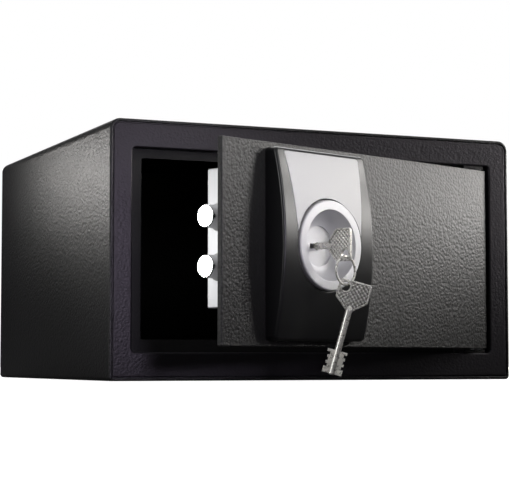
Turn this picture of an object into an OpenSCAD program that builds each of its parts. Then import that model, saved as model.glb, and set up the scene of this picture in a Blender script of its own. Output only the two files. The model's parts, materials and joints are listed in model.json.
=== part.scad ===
/* [Body] */
// Outside width of the body
body_w = 290; // [270:1:380]
// Outside depth of the body
body_d = 266; // [160:1:400]
// Outside height of the body
body_h = 165; // [160:1:260]
// Thickness of the folded body sheet
wall_t = 2; // [1.2:0.1:3]
// Outside radius of the two upper long edges
top_r = 7; // [5:0.5:12]
// Outside radius of the two lower long edges
base_r = 3.5; // [3.2:0.1:5]
// Thickness of the rear panel
rear_t = 2; // [1.2:0.1:3]
// Thickness of the floor mat
mat_t = 2; // [1:0.5:4]

/* [Front frame] */
// Width of the frame's face beside the door, from the body's outer side
side_band = 15; // [12:0.5:24]
// Height of the frame's face above and below the door, from the body's outer side
end_band = 18; // [12:0.5:26]
// Thickness of the frame sheet
frame_t = 1.5; // [1:0.1:2]
// Gap between the frame's face and the body sheet round it
seam = 0.6; // [0.2:0.1:1]
// Depth of the seam before the two sheets meet
seam_deep = 0.8; // [0.4:0.1:1]
// Depth of the frame's outer flange, which is welded inside the body
flange_deep = 10; // [6:1:16]
// Depth of the walls round the door opening
return_deep = 8; // [7:0.5:12]
// Radius of the opening's corners
open_r = 3.5; // [2:0.5:5]
// Width of the lip that the bolts catch behind
lip_latch = 8; // [6:0.5:9]
// Height of the lip above the door
lip_top = 6; // [4:0.5:10]
// Height of the lip below the door
lip_base = 8; // [4:0.5:10]

/* [Door] */
// Thickness of the door plate
door_t = 4; // [3:0.5:6]
// Gap between the door's free edge and the frame
gap_latch = 4; // [3:0.25:5]
// Gap between the door's hinge edge and the frame
gap_hinge = 2.25; // [2.1:0.05:3]
// Gap above and below the door
gap_end = 3; // [2.8:0.1:4]
// Bevel of the door's front corner at the hinge
hinge_bevel = 1.5; // [1.2:0.1:2]
// Angle at which the door stands open
door_open = 21.5; // [0:0.5:90]

/* [Hinge] */
// Distance of the hinge pin from the door's hinge edge
pin_in = 5; // [4.8:0.1:6]
// Distance of the hinge pin behind the door's front face
pin_back = 6; // [6:0.1:6.4]
// Diameter of the hinge pins
pin_d = 4; // [3:0.5:5]
// Diameter of the knuckles round the pins
knuckle_d = 8.4; // [7:0.2:9]
// Height of each hinge strap
strap_h = 18; // [12:1:30]
// Length of each hinge strap from the pin
strap_l = 34; // [20:1:50]
// Thickness of the hinge straps
strap_t = 2.2; // [1.5:0.1:3]
// Thickness of the fixed hinge brackets
bracket_t = 2.4; // [2:0.1:2.6]
// Depth of the fixed hinge brackets
bracket_deep = 14; // [12:1:20]
// Length of the fixed hinge brackets to the left of the pin
bracket_l = 12; // [8:1:20]
// Thickness of the hinge washers
washer_t = 0.8; // [0.5:0.1:1]

/* [Escutcheon] */
// Distance of the lock's axis from the door's free edge
lock_in = 76; // [70:1:120]
// Width of the escutcheon
esc_w = 80; // [70:1:100]
// Height of the escutcheon
esc_h = 116; // [100:1:118]
// How far the escutcheon's ends stand out from the door
esc_end = 8; // [6:0.5:10]
// How far the escutcheon's middle stands out from the door
esc_mid = 16; // [15.5:0.5:20]
// Radius of the escutcheon's corners
esc_r = 3; // [2:0.5:6]
// Wall of the hollow escutcheon
esc_wall = 2.5; // [1.5:0.5:4]
// Width of the bright insert at its top
insert_top_w = 66; // [60:1:70]
// Width of the bright insert beside the ring
insert_low_w = 56.6; // [56:0.2:60]
// Margin of the escutcheon above the insert
insert_margin = 2; // [1:0.5:5]
// Height of the insert's lower tips above the lock's axis
insert_tip = 7.5; // [6:0.5:12]
// Thickness of the insert
insert_t = 1.2; // [0.8:0.1:2]
// How far the insert stands proud of the escutcheon
insert_proud = 0.2; // [0:0.1:0.5]

/* [Lock ring and keyway] */
// Outside diameter of the lock ring
ring_d = 55; // [53:0.5:55]
// Diameter of the ring's mouth
ring_mouth_d = 43.5; // [38:0.5:45]
// Diameter of the flat disc at the bottom of the ring's bowl
disc_show_d = 25; // [22:0.5:28]
// How far the ring stands out from the door
ring_off = 17; // [16.5:0.5:20]
// How far the keyway disc stands out from the door
disc_off = 5; // [4:0.5:7]
// Thickness of the ring's front flange
ring_flange_t = 4.5; // [3:0.5:5]
// Diameter of the ring's body behind the flange
ring_body_d = 47; // [46:0.5:49]
// Thickness of the keyway disc
disc_t = 2; // [1.5:0.1:3]
// Outside diameter of the keyway barrel
barrel_d = 18; // [17:0.5:22]

/* [Key] */
// Diameter of the key's stem
stem_d = 4; // [3.5:0.1:4.4]
// Radius of the key's bits from the stem's axis
bit_r = 6; // [5.5:0.1:6.4]
// Thickness of the key's bits
bit_t = 2; // [1.6:0.1:2.4]
// Length of the bits along the stem
bit_l = 14.4; // [14:0.2:16]
// How far the key's bow starts in front of the door
bow_off = 14.6; // [12:0.1:18]
// Length of the key's bow
bow_l = 18; // [17:0.5:20]
// Width of the key's bow
bow_w = 20; // [19:0.5:22]
// Thickness of the key's bow
bow_t = 2.2; // [1.8:0.1:2.4]
// Width of the bow where it meets the stem
bow_neck = 4.6; // [4.4:0.1:6]
// Length of the bow's slanted part
bow_slant = 6.5; // [5:0.5:8]
// Diameter of the hole in the bow
bow_hole_d = 5.5; // [5.3:0.1:5.6]
// Metal left between the hole and the bow's edges
bow_rim = 1.65; // [1.4:0.05:2]
// Mean diameter of the key ring
keyring_d = 17; // [16:0.5:20]
// Diameter of the key ring's wire
wire_d = 1.5; // [1.2:0.1:1.6]
// How far the spare key leans as it hangs
spare_lean = 15.5; // [10:0.5:22]
// How far the spare key's face is turned from the door's face
spare_turn = 45; // [35:1:50]

/* [Bolts] */
// Diameter of the bolts
bolt_d = 14; // [10:0.5:14]
// Distance between the two bolts
bolt_pitch = 30; // [24:1:34]
// Height of the bolts' middle above the lock's axis
bolt_rise = 1; // [0:0.5:2]
// How far the drawn bolts stand out of the cover
bolt_show = 11; // [9:0.5:11]
// Travel of the bolts
bolt_throw = 10.5; // [8:0.5:11]
// Distance of the bolts' axis in front of the carriage plate
bolt_drop = 5; // [4:0.5:6]
// Thickness of the carriage sheet
carriage_t = 2; // [1.5:0.1:2.5]
// Diameter of the threaded end of each bolt
tenon_d = 8; // [6:1:8]
// Thickness of the bolt nuts
nut_t = 4.5; // [3:0.5:6]
// Width across the flats of the bolt nuts
nut_af = 13; // [11:0.5:13]

/* [Boltwork cover] */
// Distance of the cover's left wall from the door's free edge
cover_in = 17; // [16:0.5:20]
// Width of the cover
cover_w = 118; // [114:1:140]
// Height of the cover
cover_h = 84; // [82:1:100]
// Height of the cover's middle above the lock's axis
cover_rise = 3.5; // [0:0.5:5]
// Thickness of the cover sheet
cover_t = 1.5; // [1:0.1:2]
// Distance of the cover screws from the cover's side walls
screw_in_x = 6; // [5.6:0.1:8]
// Distance of the cover screws from the cover's top and bottom walls
screw_in_z = 7.5; // [6:0.5:9]
// Diameter of the posts that carry the cover
post_d = 8; // [7:0.5:8]
// Diameter of the cover screws
screw_d = 4; // [3:0.5:4.5]
// Diameter of the domed heads
dome_d = 7.8; // [7:0.1:9]
// Height of the domed heads
dome_h = 4.5; // [3:0.5:6]

/* [Lock case] */
// Thickness of the lock case's sheet
case_t = 1.5; // [1:0.1:2]
// Width of the lock case
case_w = 44; // [42:1:48]
// Height of the levers
lever_h = 36; // [32:1:40]
// Thickness of each lever
lever_t = 1.6; // [1.2:0.1:1.7]
// Distance from one lever to the next
lever_step = 1.8; // [1.8:0.1:2.2]
// Number of levers
lever_n = 5; // [3:1:5]
// Distance of the first lever behind the door plate
lever_start = 8; // [7:0.5:9]
// How far a lever slides as the key turns
lever_slide = 0.9; // [0.6:0.1:1.2]
// Thickness of the cam's disc
cam_t = 1.8; // [1.2:0.1:2.4]
// Radius of the cam's hub
hub_r = 8; // [7.8:0.1:8.4]
// Distance of the case's ears from the lock's axis
ear_x = 12; // [10:0.5:15]
// Length of the case's ears
ear_l = 8; // [7:0.5:9]
// Width of the case's ears
ear_w = 8; // [7:0.5:9]
// Distance of the guide post from the lock case
guide_out = 14; // [12:0.5:16]

/* [Small screws] */
// Diameter of the screws of the lock case and the escutcheon
small_d = 3; // [2.5:0.1:3.2]
// Diameter of the heads of the lock case's screws
small_head_d = 5.6; // [5:0.1:6.4]
// Height of the heads of the lock case's screws
small_head_h = 2; // [1.5:0.1:2.4]
// Diameter of the heads of the escutcheon's screws
esc_head_d = 6.8; // [6:0.1:7.4]
// Height of the heads of the escutcheon's screws
esc_head_h = 2.2; // [1.5:0.1:3]
// Diameter of the holes for the escutcheon's screws
esc_screw_d = 3.5; // [3.4:0.1:3.6]
// Clearance between the heads of the escutcheon's screws and the cover's lower wall
esc_screw_in = 3.1; // [2:0.1:4]

/* [Fixing holes] */
// Diameter of the fixing holes in the base and the rear panel
fix_d = 9; // [6:0.5:12]
// Distance between the two fixing holes
fix_pitch = 170; // [120:5:200]

/* [Hidden] */
$fn = 96;

// Clearances
run_gap = 0.08;      // round a pin or bolt that turns or slides in a bore
free_gap = 0.3;      // between pieces that move past each other
wide_gap = 0.6;      // between stacked plates of the boltwork
cut = 1;             // how far a cutting shape runs past a face
press_depth = 2;     // how deep a screw reaches into the door plate
esc_screw_deep = 5;  // how deep the escutcheon's bosses are bored

// Door opening and door plate, seen from the front, with the door shut
y_front = -body_d / 2;
y_rear = body_d / 2;
open_x = body_w / 2 - side_band;
open_z0 = end_band;
open_z1 = body_h - end_band;
door_x0 = -open_x + gap_latch;
door_x1 = open_x - gap_hinge;
door_z0 = open_z0 + gap_end;
door_z1 = open_z1 - gap_end;
y_plate = y_front + door_t;

// Hinge
pivot_x = door_x1 - pin_in;
pivot_y = y_front + pin_back;
pin_r = pin_d / 2;
knuckle_r = knuckle_d / 2;
bracket_r = pivot_x - bracket_l;
bracket_x1 = open_x - open_r;
bracket_y0 = y_front + frame_t;
lip_stop = 6;         // how far the lips stop short of the brackets
lip_corner_r = 3;     // inside corners of the lips
strap_z0 = open_z0 + bracket_t + washer_t + free_gap;
strap_z1 = door_z0 + door_z1 - strap_z0 - strap_h;

// Lock axis and the curve of the escutcheon's front
lock_x = door_x0 + lock_in;
lock_z = (door_z0 + door_z1) / 2;
esc_rise = esc_mid - esc_end;
curve_r = (pow(esc_h / 2, 2) + pow(esc_rise, 2)) / (2 * esc_rise);
curve_y = y_front - esc_mid + curve_r;
pocket_gap = 0.8;     // round the lock ring in its pocket
pocket_r = ring_d / 2 + pocket_gap;
pocket_off = ring_off - ring_flange_t;
boss_r = pocket_r + esc_wall;

// Bowl of the lock ring: an arc from the disc's edge to the mouth
bowl_step = 1.2;      // height of the bowl's first step above the disc
bowl_lift = 0.5;      // how far the arc's centre lies in front of the ring
bowl_y0 = disc_off + bowl_step;
bowl_cy = ring_off + bowl_lift;
mouth_r = ring_mouth_d / 2;
show_r = disc_show_d / 2;
bowl_cr = (pow(mouth_r, 2) - pow(show_r, 2) + pow(ring_off - bowl_cy, 2) - pow(bowl_y0 - bowl_cy, 2))
    / (2 * (mouth_r - show_r));
bowl_r = sqrt(pow(mouth_r - bowl_cr, 2) + pow(ring_off - bowl_cy, 2));

// Plates of the lock and the boltwork, stacked behind the door plate
lever_y0 = y_plate + lever_start;
cap_y0 = lever_y0 + (lever_n - 1) * lever_step + lever_t + wide_gap;
cap_y1 = cap_y0 + case_t;
cam_y0 = cap_y1 + free_gap;
cam_y1 = cam_y0 + cam_t;
carriage_y0 = cam_y1 + wide_gap;
carriage_y1 = carriage_y0 + carriage_t;
pin_past = 0.5;       // how far the cam's pin reaches past the carriage
cover_gap = 0.8;      // between the pin's end and the cover
stack_end = carriage_y1 + pin_past;
cover_y1 = stack_end + cover_gap + cover_t;
bolt_y = carriage_y0 - bolt_drop;
tip_past = 0.2;       // how far the key's end reaches past the cam
key_tip_y = cam_y1 + tip_past;

// Boltwork
bolt_r = bolt_d / 2;
bolt_mid = lock_z + bolt_rise;
cover_x0 = door_x0 + cover_in;
cover_x1 = cover_x0 + cover_w;
cover_mid = lock_z + cover_rise;
post_xs = [cover_x0 + screw_in_x, cover_x1 - screw_in_x];
post_zs = [cover_mid - cover_h / 2 + screw_in_z, cover_mid + cover_h / 2 - screw_in_z];
screw_l = 8;
bush_flange_t = 2.5;
bolt_x0 = cover_x0 - bolt_show;
foot_clear = 7;       // from the cover's wall to the foot with the bolts thrown
foot_x0 = cover_x0 + cover_t + bolt_throw + foot_clear;
foot_x1 = foot_x0 + carriage_t;
carriage_rim = 3;     // metal round what the carriage plate holds
foot_h = bolt_pitch + bolt_d + 2 * carriage_rim;
foot_plate = 11.5;    // length of the carriage plate past the nuts
foot_l = nut_t + foot_plate;
crank = bolt_throw / sqrt(2);
cam_pin_r = 1.9;
cam_rim = 1.2;        // metal round the cam's pin
cam_r = crank + cam_pin_r + cam_rim;
slot_gap = 0.5;       // round the cam's pin in the carriage's slot
tongue_h = 22;
guide_x = lock_x + case_w / 2 + guide_out;
guide_r = 3;
tongue_x1 = guide_x + guide_r + bolt_throw + carriage_rim;

// Lock case, levers and stump, measured from the lock's axis
spring_room = 1.6;    // between a raised lever and the case
bit_room = 0.7;       // round the bits in the levers' eyes
case_in_h = lever_h + 2 * (lever_slide + spring_room);
eye_r = bit_r + bit_room;
case_half_h = case_in_h / 2 + case_t;
esc_screw_z = cover_h / 2 - cover_rise - cover_t - esc_head_d / 2 - esc_screw_in;
case_screw_xs = [lock_x - ear_x, lock_x + ear_x];
case_screw_zs = [lock_z - case_half_h - ear_l / 2, lock_z + case_half_h + ear_l / 2];
small_r = small_d / 2;
lever_x0 = -case_w / 2;
end_room = 1.5;       // between the levers' ends and the case
lever_x1 = case_w / 2 - case_t - end_room;
stump_w = 2;
stump_h = 4;
stump_gap = 0.35;
gate_deep = 4;
guide_pin_r = 1.5;
guide_pin_x = lever_x1 - 3 * guide_pin_r;
guide_pin_z = lever_h / 2 - 4 * guide_pin_r;
cap_screw_r = 1.25;
cap_screw_z = 14;
cap_head_r = 2 * cap_screw_r;
cap_head_h = 1.6;
cap_boss_r = 3;
cap_boss_x = case_w / 2 + cap_boss_r / 2;

// Key: the stem runs along Z with the bow above it, and the bow lies in the X-Z plane
key_reach = key_tip_y - y_front;
stem_l = bow_off + key_reach;
stem_r = stem_d / 2;
bow_hole_r = bow_hole_d / 2;
hole_x = -(bow_w / 2 - bow_rim - bow_hole_r);
hole_z = bow_l - bow_rim - bow_hole_r;
wire_r = wire_d / 2;
keyring_r = keyring_d / 2;
hang = bow_hole_r - wire_r - 0.4;
spare_hang = bow_hole_r - wire_r - 1;
// Depths of the cuts in the bits, one for each lever and one left whole for the cam
bit_cuts = [1.6, 0.4, 1.1, 0.2, 1.4];

// Positions of the ring and the spare key with the door shut
keyring_y = y_front - bow_off - hole_z;
keyring_z = lock_z + hole_x - hang - keyring_r;
wire_low_z = keyring_z - keyring_r;

// Turns what belongs to the door about the hinge to where the door stands
module on_door() {
    translate([pivot_x, pivot_y, 0])
        rotate([0, 0, door_open])
            translate([-pivot_x, -pivot_y, 0])
                children();
}

// A flat outline in X and Z, given a thickness from y0 back to y1
module slab(y0, y1) {
    translate([0, y1, 0])
        rotate([90, 0, 0])
            linear_extrude(height = y1 - y0)
                children();
}

// A round bar along Y
module bar(x, z, r, y0, y1) {
    slab(y0, y1)
        translate([x, z])
            circle(r = r);
}

// A rectangle from x0, z0 to x1, z1
module box2(x0, z0, x1, z1) {
    translate([x0, z0])
        square([x1 - x0, z1 - z0]);
}

// A rectangle with round corners, rt at the top and rb at the bottom
module soft_box2(x0, z0, x1, z1, rt, rb) {
    box2(x0, z0 + rb, x1, z1 - rt);
    box2(x0 + rb, z0, x1 - rb, z0 + rb);
    box2(x0 + rt, z1 - rt, x1 - rt, z1);
    for (x = [x0 + rb, x1 - rb])
        translate([x, z0 + rb])
            circle(r = rb);
    for (x = [x0 + rt, x1 - rt])
        translate([x, z1 - rt])
            circle(r = rt);
}

// The body's outline, drawn in by inset on every side
module body_outline(inset) {
    soft_box2(
        -body_w / 2 + inset, inset, body_w / 2 - inset, body_h - inset,
        top_r - inset, base_r - min(inset, base_r - 0.3)
    );
}

// The door opening's outline, grown by out on every side
module opening_outline(out) {
    soft_box2(-open_x - out, open_z0 - out, open_x + out, open_z1 + out, open_r + out, open_r + out);
}

// Wrap of sheet steel: base, sides and top, with two fixing holes in the base
module body_shell() {
    color("#26262a")
        difference() {
            slab(y_front, y_rear)
                difference() {
                    body_outline(0);
                    body_outline(wall_t);
                }
            for (x = [-fix_pitch / 2, fix_pitch / 2])
                translate([x, 0, -cut])
                    cylinder(d = fix_d, h = wall_t + 2 * cut);
        }
}

// Rear panel, welded inside the wrap and flush with its rear edge
module rear_panel() {
    color("#26262a")
        slab(y_rear - rear_t, y_rear)
            difference() {
                body_outline(wall_t);
                for (x = [-fix_pitch / 2, fix_pitch / 2])
                    translate([x, body_h / 2])
                        circle(d = fix_d);
            }
}

// Folded front frame: face, outer weld flange, walls round the opening and the lips
module front_frame() {
    color("#2c2c30") {
        slab(y_front, y_front + frame_t)
            difference() {
                body_outline(wall_t + seam);
                opening_outline(0);
            }
        slab(y_front + seam_deep, y_front + flange_deep)
            difference() {
                body_outline(wall_t);
                body_outline(wall_t + frame_t);
            }
        slab(y_front, y_front + return_deep)
            difference() {
                opening_outline(frame_t);
                opening_outline(0);
            }
        slab(y_front + return_deep - frame_t, y_front + return_deep)
            difference() {
                intersection() {
                    opening_outline(frame_t / 2);
                    box2(-open_x - cut, open_z0 - cut, bracket_r - lip_stop, open_z1 + cut);
                }
                soft_box2(
                    -open_x + lip_latch, open_z0 + lip_base,
                    open_x, open_z1 - lip_top, lip_corner_r, lip_corner_r
                );
            }
    }
}

// Fixed hinge brackets, welded to the walls above and below the door
module hinge_brackets() {
    color("#2c2c30")
        for (z = [open_z0, open_z1 - bracket_t])
            difference() {
                translate([bracket_r, bracket_y0, z])
                    cube([bracket_x1 - bracket_r, bracket_deep, bracket_t]);
                translate([pivot_x, pivot_y, z - cut])
                    cylinder(r = pin_r + run_gap, h = bracket_t + 2 * cut);
            }
}

// Thin washers that the door turns on
module hinge_washers() {
    color("#b9bbc0")
        for (z = [open_z0 + bracket_t, open_z1 - bracket_t - washer_t])
            difference() {
                translate([pivot_x, pivot_y, z])
                    cylinder(r = knuckle_r, h = washer_t);
                translate([pivot_x, pivot_y, z - cut])
                    cylinder(r = pin_r + run_gap, h = washer_t + 2 * cut);
            }
}

// Mat on the floor, with clearance round the fixing holes
module floor_mat() {
    mat_side = body_w / 2 - wall_t - 1.5;
    mat_y0 = y_front + flange_deep + 2;
    mat_y1 = y_rear - rear_t - 1;
    color("#1c1c1e")
        difference() {
            translate([-mat_side, mat_y0, wall_t])
                cube([2 * mat_side, mat_y1 - mat_y0, mat_t]);
            for (x = [-fix_pitch / 2, fix_pitch / 2])
                translate([x, 0, 0])
                    cylinder(d = fix_d + 4, h = wall_t + mat_t + cut);
        }
}

// Door plate, bevelled at the hinge, with its bores and the relief for the knuckles
module door_plate() {
    color("#2c2c30")
        on_door()
            difference() {
                translate([0, 0, door_z0])
                    linear_extrude(height = door_z1 - door_z0)
                        polygon([
                            [door_x0, y_front],
                            [door_x1 - hinge_bevel, y_front],
                            [door_x1, y_front + hinge_bevel],
                            [door_x1, y_plate],
                            [door_x0, y_plate]
                        ]);
                for (z = [door_z0 - cut, strap_z1 - cut])
                    translate([pivot_x, pivot_y, z])
                        cylinder(r = knuckle_r + free_gap, h = strap_h + 2 * cut + free_gap);
                bar(lock_x, lock_z, barrel_d / 2, y_front - cut, y_plate + cut);
                for (s = [-1, 1])
                    bar(lock_x, lock_z + s * esc_screw_z, esc_screw_d / 2, y_front - cut, y_plate + cut);
                for (x = case_screw_xs, z = case_screw_zs)
                    bar(x, z, small_r, y_plate - press_depth, y_plate + cut);
            }
}

// Straps welded behind the door plate, each with a knuckle round its pin
module hinge_straps() {
    color("#b9bbc0")
        on_door()
            for (z = [strap_z0, strap_z1])
                difference() {
                    union() {
                        translate([pivot_x - strap_l, y_plate, z])
                            cube([strap_l, strap_t, strap_h]);
                        translate([pivot_x, pivot_y, z])
                            cylinder(r = knuckle_r, h = strap_h);
                    }
                    translate([pivot_x, pivot_y, z - cut])
                        cylinder(r = pin_r, h = strap_h + 2 * cut);
                }
}

// Hinge pins, fast in the straps and free in the brackets
module hinge_pins() {
    pin_l = strap_h + washer_t + bracket_t;
    color("#d5d7db")
        on_door()
            for (z = [open_z0 + free_gap, strap_z1])
                translate([pivot_x, pivot_y, z])
                    cylinder(r = pin_r, h = pin_l);
}

// The cylinder that the escutcheon's front follows, drawn in by inset
module front_curve(inset) {
    translate([lock_x - esc_w, curve_y, lock_z])
        rotate([0, 90, 0])
            cylinder(r = curve_r - inset, h = 2 * esc_w);
}

// Outline of the bright insert, grown by out
module insert_outline(out) {
    top = lock_z + esc_h / 2 - insert_margin + out;
    tip = lock_z + insert_tip - out;
    difference() {
        polygon([
            [lock_x - insert_top_w / 2 - out, top],
            [lock_x + insert_top_w / 2 + out, top],
            [lock_x + insert_low_w / 2 + out, tip],
            [lock_x - insert_low_w / 2 - out, tip]
        ]);
        translate([lock_x, lock_z])
            circle(r = pocket_r + 0.3 - out);
    }
}

// Hollow moulded escutcheon, arched from top to bottom, with seats for the insert and ring
module escutcheon() {
    half_w = esc_w / 2;
    half_h = esc_h / 2;
    color("#1d1d20")
        on_door()
            difference() {
                union() {
                    difference() {
                        esc_block(half_w, half_h, 0, 0);
                        esc_block(half_w - esc_wall, half_h - esc_wall, esc_wall, cut);
                    }
                    intersection() {
                        esc_block(half_w, half_h, 0, 0);
                        union() {
                            bar(lock_x, lock_z, boss_r, y_front - esc_mid, y_front);
                            for (s = [-1, 1])
                                bar(
                                    lock_x, lock_z + s * esc_screw_z,
                                    small_r + esc_wall, y_front - esc_mid, y_front
                                );
                        }
                    }
                }
                bar(lock_x, lock_z, pocket_r, y_front - esc_mid - cut, y_front - pocket_off);
                bar(lock_x, lock_z, ring_body_d / 2, y_front - esc_mid - cut, y_front + cut);
                for (s = [-1, 1])
                    bar(lock_x, lock_z + s * esc_screw_z, small_r, y_front - esc_screw_deep, y_front + cut);
                difference() {
                    slab(y_front - esc_mid - cut, y_front)
                        insert_outline(0.1);
                    front_curve(insert_t - insert_proud);
                }
            }
}

// A block with the escutcheon's curved front, drawn in by inset and run past its back by past
module esc_block(half_w, half_h, inset, past) {
    intersection() {
        slab(y_front - esc_mid - cut, y_front + past)
            soft_box2(
                lock_x - half_w, lock_z - half_h, lock_x + half_w, lock_z + half_h,
                esc_r, esc_r
            );
        front_curve(inset);
    }
}

// Bright insert above the lock ring
module escutcheon_insert() {
    color("#c9cace")
        on_door()
            difference() {
                intersection() {
                    slab(y_front - esc_mid - cut, y_front)
                        insert_outline(0);
                    front_curve(-insert_proud);
                }
                front_curve(insert_t - insert_proud);
            }
}

// Screws that hold the escutcheon from behind the door plate
module escutcheon_screws() {
    color("#b9bbc0")
        on_door()
            for (s = [-1, 1])
                union() {
                    bar(lock_x, lock_z + s * esc_screw_z, small_r, y_front - esc_screw_deep + 0.5, y_plate);
                    bar(lock_x, lock_z + s * esc_screw_z, esc_head_d / 2, y_plate, y_plate + esc_head_h);
                }
}

// Ring round the keyway, with a bowl that leads down to the disc
module lock_ring() {
    color("#cfd0d4")
        on_door()
            translate([lock_x, y_front, lock_z])
                rotate([90, 0, 0])
                    rotate_extrude()
                        difference() {
                            union() {
                                box2(0, disc_off, ring_body_d / 2, ring_off - ring_flange_t);
                                box2(0, ring_off - ring_flange_t, ring_d / 2, ring_off);
                            }
                            box2(-cut, disc_off - cut, show_r, ring_off + cut);
                            translate([bowl_cr, bowl_cy])
                                circle(r = bowl_r);
                            box2(-cut, bowl_cy - bowl_r / 2, bowl_cr, ring_off + cut);
                        }
}

// Disc with the keyway, and the barrel behind it that leads the key through the door
module keyway_disc() {
    color("#d8d9dd")
        on_door()
            difference() {
                union() {
                    bar(lock_x, lock_z, ring_body_d / 2 - 3, y_front - disc_off, y_front - disc_off + disc_t);
                    bar(lock_x, lock_z, barrel_d / 2, y_front - disc_off, y_plate);
                }
                bar(lock_x, lock_z, bit_r + 0.6, y_front - disc_off + disc_t, y_plate + cut);
                bar(lock_x, lock_z, stem_r + 0.4, y_front - disc_off - cut, y_plate);
                slab(y_front - disc_off - cut, y_plate)
                    translate([lock_x, lock_z])
                        square([2 * bit_r + 0.8, bit_t + 0.8], center = true);
            }
}

// Zinc-plated box over the boltwork
module boltwork_cover() {
    z0 = cover_mid - cover_h / 2;
    z1 = cover_mid + cover_h / 2;
    color("#d9dade")
        on_door()
            difference() {
                slab(y_plate, cover_y1)
                    box2(cover_x0, z0, cover_x1, z1);
                slab(y_plate - cut, cover_y1 - cover_t)
                    box2(cover_x0 + cover_t, z0 + cover_t, cover_x1 - cover_t, z1 - cover_t);
                for (s = [-1, 1])
                    translate([cover_x0 - cut, bolt_y, bolt_mid + s * bolt_pitch / 2])
                        rotate([0, 90, 0])
                            cylinder(r = bolt_r + cover_t, h = cover_t + 2 * cut);
                for (x = post_xs, z = post_zs)
                    bar(x, z, screw_d / 2, cover_y1 - cover_t - cut, cover_y1 + cut);
            }
}

// Posts between the door plate and the cover
module cover_posts() {
    color("#b9bbc0")
        on_door()
            for (x = post_xs, z = post_zs)
                difference() {
                    bar(x, z, post_d / 2, y_plate, cover_y1 - cover_t);
                    bar(x, z, screw_d / 2, cover_y1 - cover_t - screw_l - cut, cover_y1);
                }
}

// Screws with domed heads that hold the cover
module cover_screws() {
    dome_r = (pow(dome_d / 2, 2) + pow(dome_h, 2)) / (2 * dome_h);
    color("#e2e3e6")
        on_door()
            for (x = post_xs, z = post_zs)
                union() {
                    bar(x, z, screw_d / 2, cover_y1 - cover_t - screw_l, cover_y1);
                    intersection() {
                        bar(x, z, dome_d / 2, cover_y1, cover_y1 + dome_h);
                        translate([x, cover_y1 + dome_h - dome_r, z])
                            sphere(r = dome_r);
                    }
                }
}

// Flanged bushes in the cover that guide the bolts
module bolt_bushes() {
    color("#e6e6e8")
        on_door()
            for (s = [-1, 1])
                translate([cover_x0, bolt_y, bolt_mid + s * bolt_pitch / 2])
                    rotate([0, 90, 0])
                        difference() {
                            union() {
                                cylinder(r = bolt_r + cover_t, h = cover_t);
                                translate([0, 0, cover_t])
                                    cylinder(r = bolt_r + 0.9 * cover_t, h = bush_flange_t);
                            }
                            translate([0, 0, -cut])
                                cylinder(r = bolt_r + run_gap, h = cover_t + bush_flange_t + 2 * cut);
                        }
}

// Lock case: floor plate with ears, top, bottom and right walls
module lock_case() {
    half_w = case_w / 2;
    half_h = case_half_h;
    color("#c2c4c9")
        on_door() {
            difference() {
                union() {
                    slab(y_plate, y_plate + case_t)
                        translate([lock_x, lock_z])
                            union() {
                                box2(-half_w, -half_h, half_w, half_h);
                                for (x = [-ear_x, ear_x])
                                    box2(x - ear_w / 2, -half_h - ear_l, x + ear_w / 2, half_h + ear_l);
                            }
                    slab(y_plate, cap_y0)
                        translate([lock_x, lock_z])
                            difference() {
                                box2(-half_w, -half_h, half_w, half_h);
                                box2(-half_w - cut, -half_h + case_t, half_w - case_t, half_h - case_t);
                            }
                    for (s = [-1, 1])
                        bar(lock_x + cap_boss_x, lock_z + s * cap_screw_z, cap_boss_r, y_plate, cap_y0);
                }
                bar(lock_x, lock_z, eye_r, y_plate - cut, y_plate + case_t + cut);
                for (x = case_screw_xs, z = case_screw_zs)
                    bar(x, z, small_r, y_plate - cut, y_plate + case_t + cut);
                for (s = [-1, 1])
                    bar(
                        lock_x + cap_boss_x, lock_z + s * cap_screw_z,
                        cap_screw_r, cap_y0 - screw_l, cap_y0 + cut
                    );
            }
        }
}

// Cap that closes the lock case and carries the cam
module lock_case_cap() {
    half_w = case_w / 2;
    half_h = case_half_h;
    color("#c2c4c9")
        on_door()
            slab(cap_y0, cap_y1)
                translate([lock_x, lock_z])
                    difference() {
                        union() {
                            box2(-half_w, -half_h, half_w, half_h);
                            for (s = [-1, 1])
                                translate([cap_boss_x, s * cap_screw_z])
                                    circle(r = cap_boss_r);
                        }
                        circle(r = hub_r + run_gap);
                        box2(-half_w - cut, -stump_h / 2 - 1, -half_w + gate_deep, stump_h / 2 + 1);
                        for (s = [-1, 1])
                            translate([cap_boss_x, s * cap_screw_z])
                                circle(r = cap_screw_r);
                        for (s = [-1, 1])
                            translate([guide_pin_x, s * guide_pin_z])
                                circle(r = guide_pin_r);
                    }
}

// Pins that keep the levers upright
module lever_guides() {
    color("#b9bbc0")
        on_door()
            for (s = [-1, 1])
                bar(lock_x + guide_pin_x, lock_z + s * guide_pin_z, guide_pin_r, y_plate + case_t, cap_y1);
}

// Leaf springs: those of the odd levers stand on the case's floor side, the others hang above
module lever_springs() {
    leaf_t = 0.4;
    leaf_w = 16;
    rise = (case_in_h - lever_h) / 2 - free_gap;
    leaf_r = (pow(leaf_w / 2, 2) + pow(rise, 2)) / (2 * rise);
    color("#d5d7db")
        on_door()
            for (i = [0 : lever_n - 1])
                translate([lock_x, 0, lock_z])
                    mirror([0, 0, i % 2])
                        intersection() {
                            slab(lever_y0 + i * lever_step + 0.2, lever_y0 + i * lever_step + lever_t - 0.2)
                                translate([0, -case_in_h / 2 + rise - leaf_r])
                                    difference() {
                                        circle(r = leaf_r);
                                        circle(r = leaf_r - leaf_t);
                                    }
                            slab(lever_y0 + i * lever_step, lever_y0 + i * lever_step + lever_t)
                                box2(-leaf_w / 2, -case_in_h / 2, leaf_w / 2, 0);
                        }
}

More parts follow.
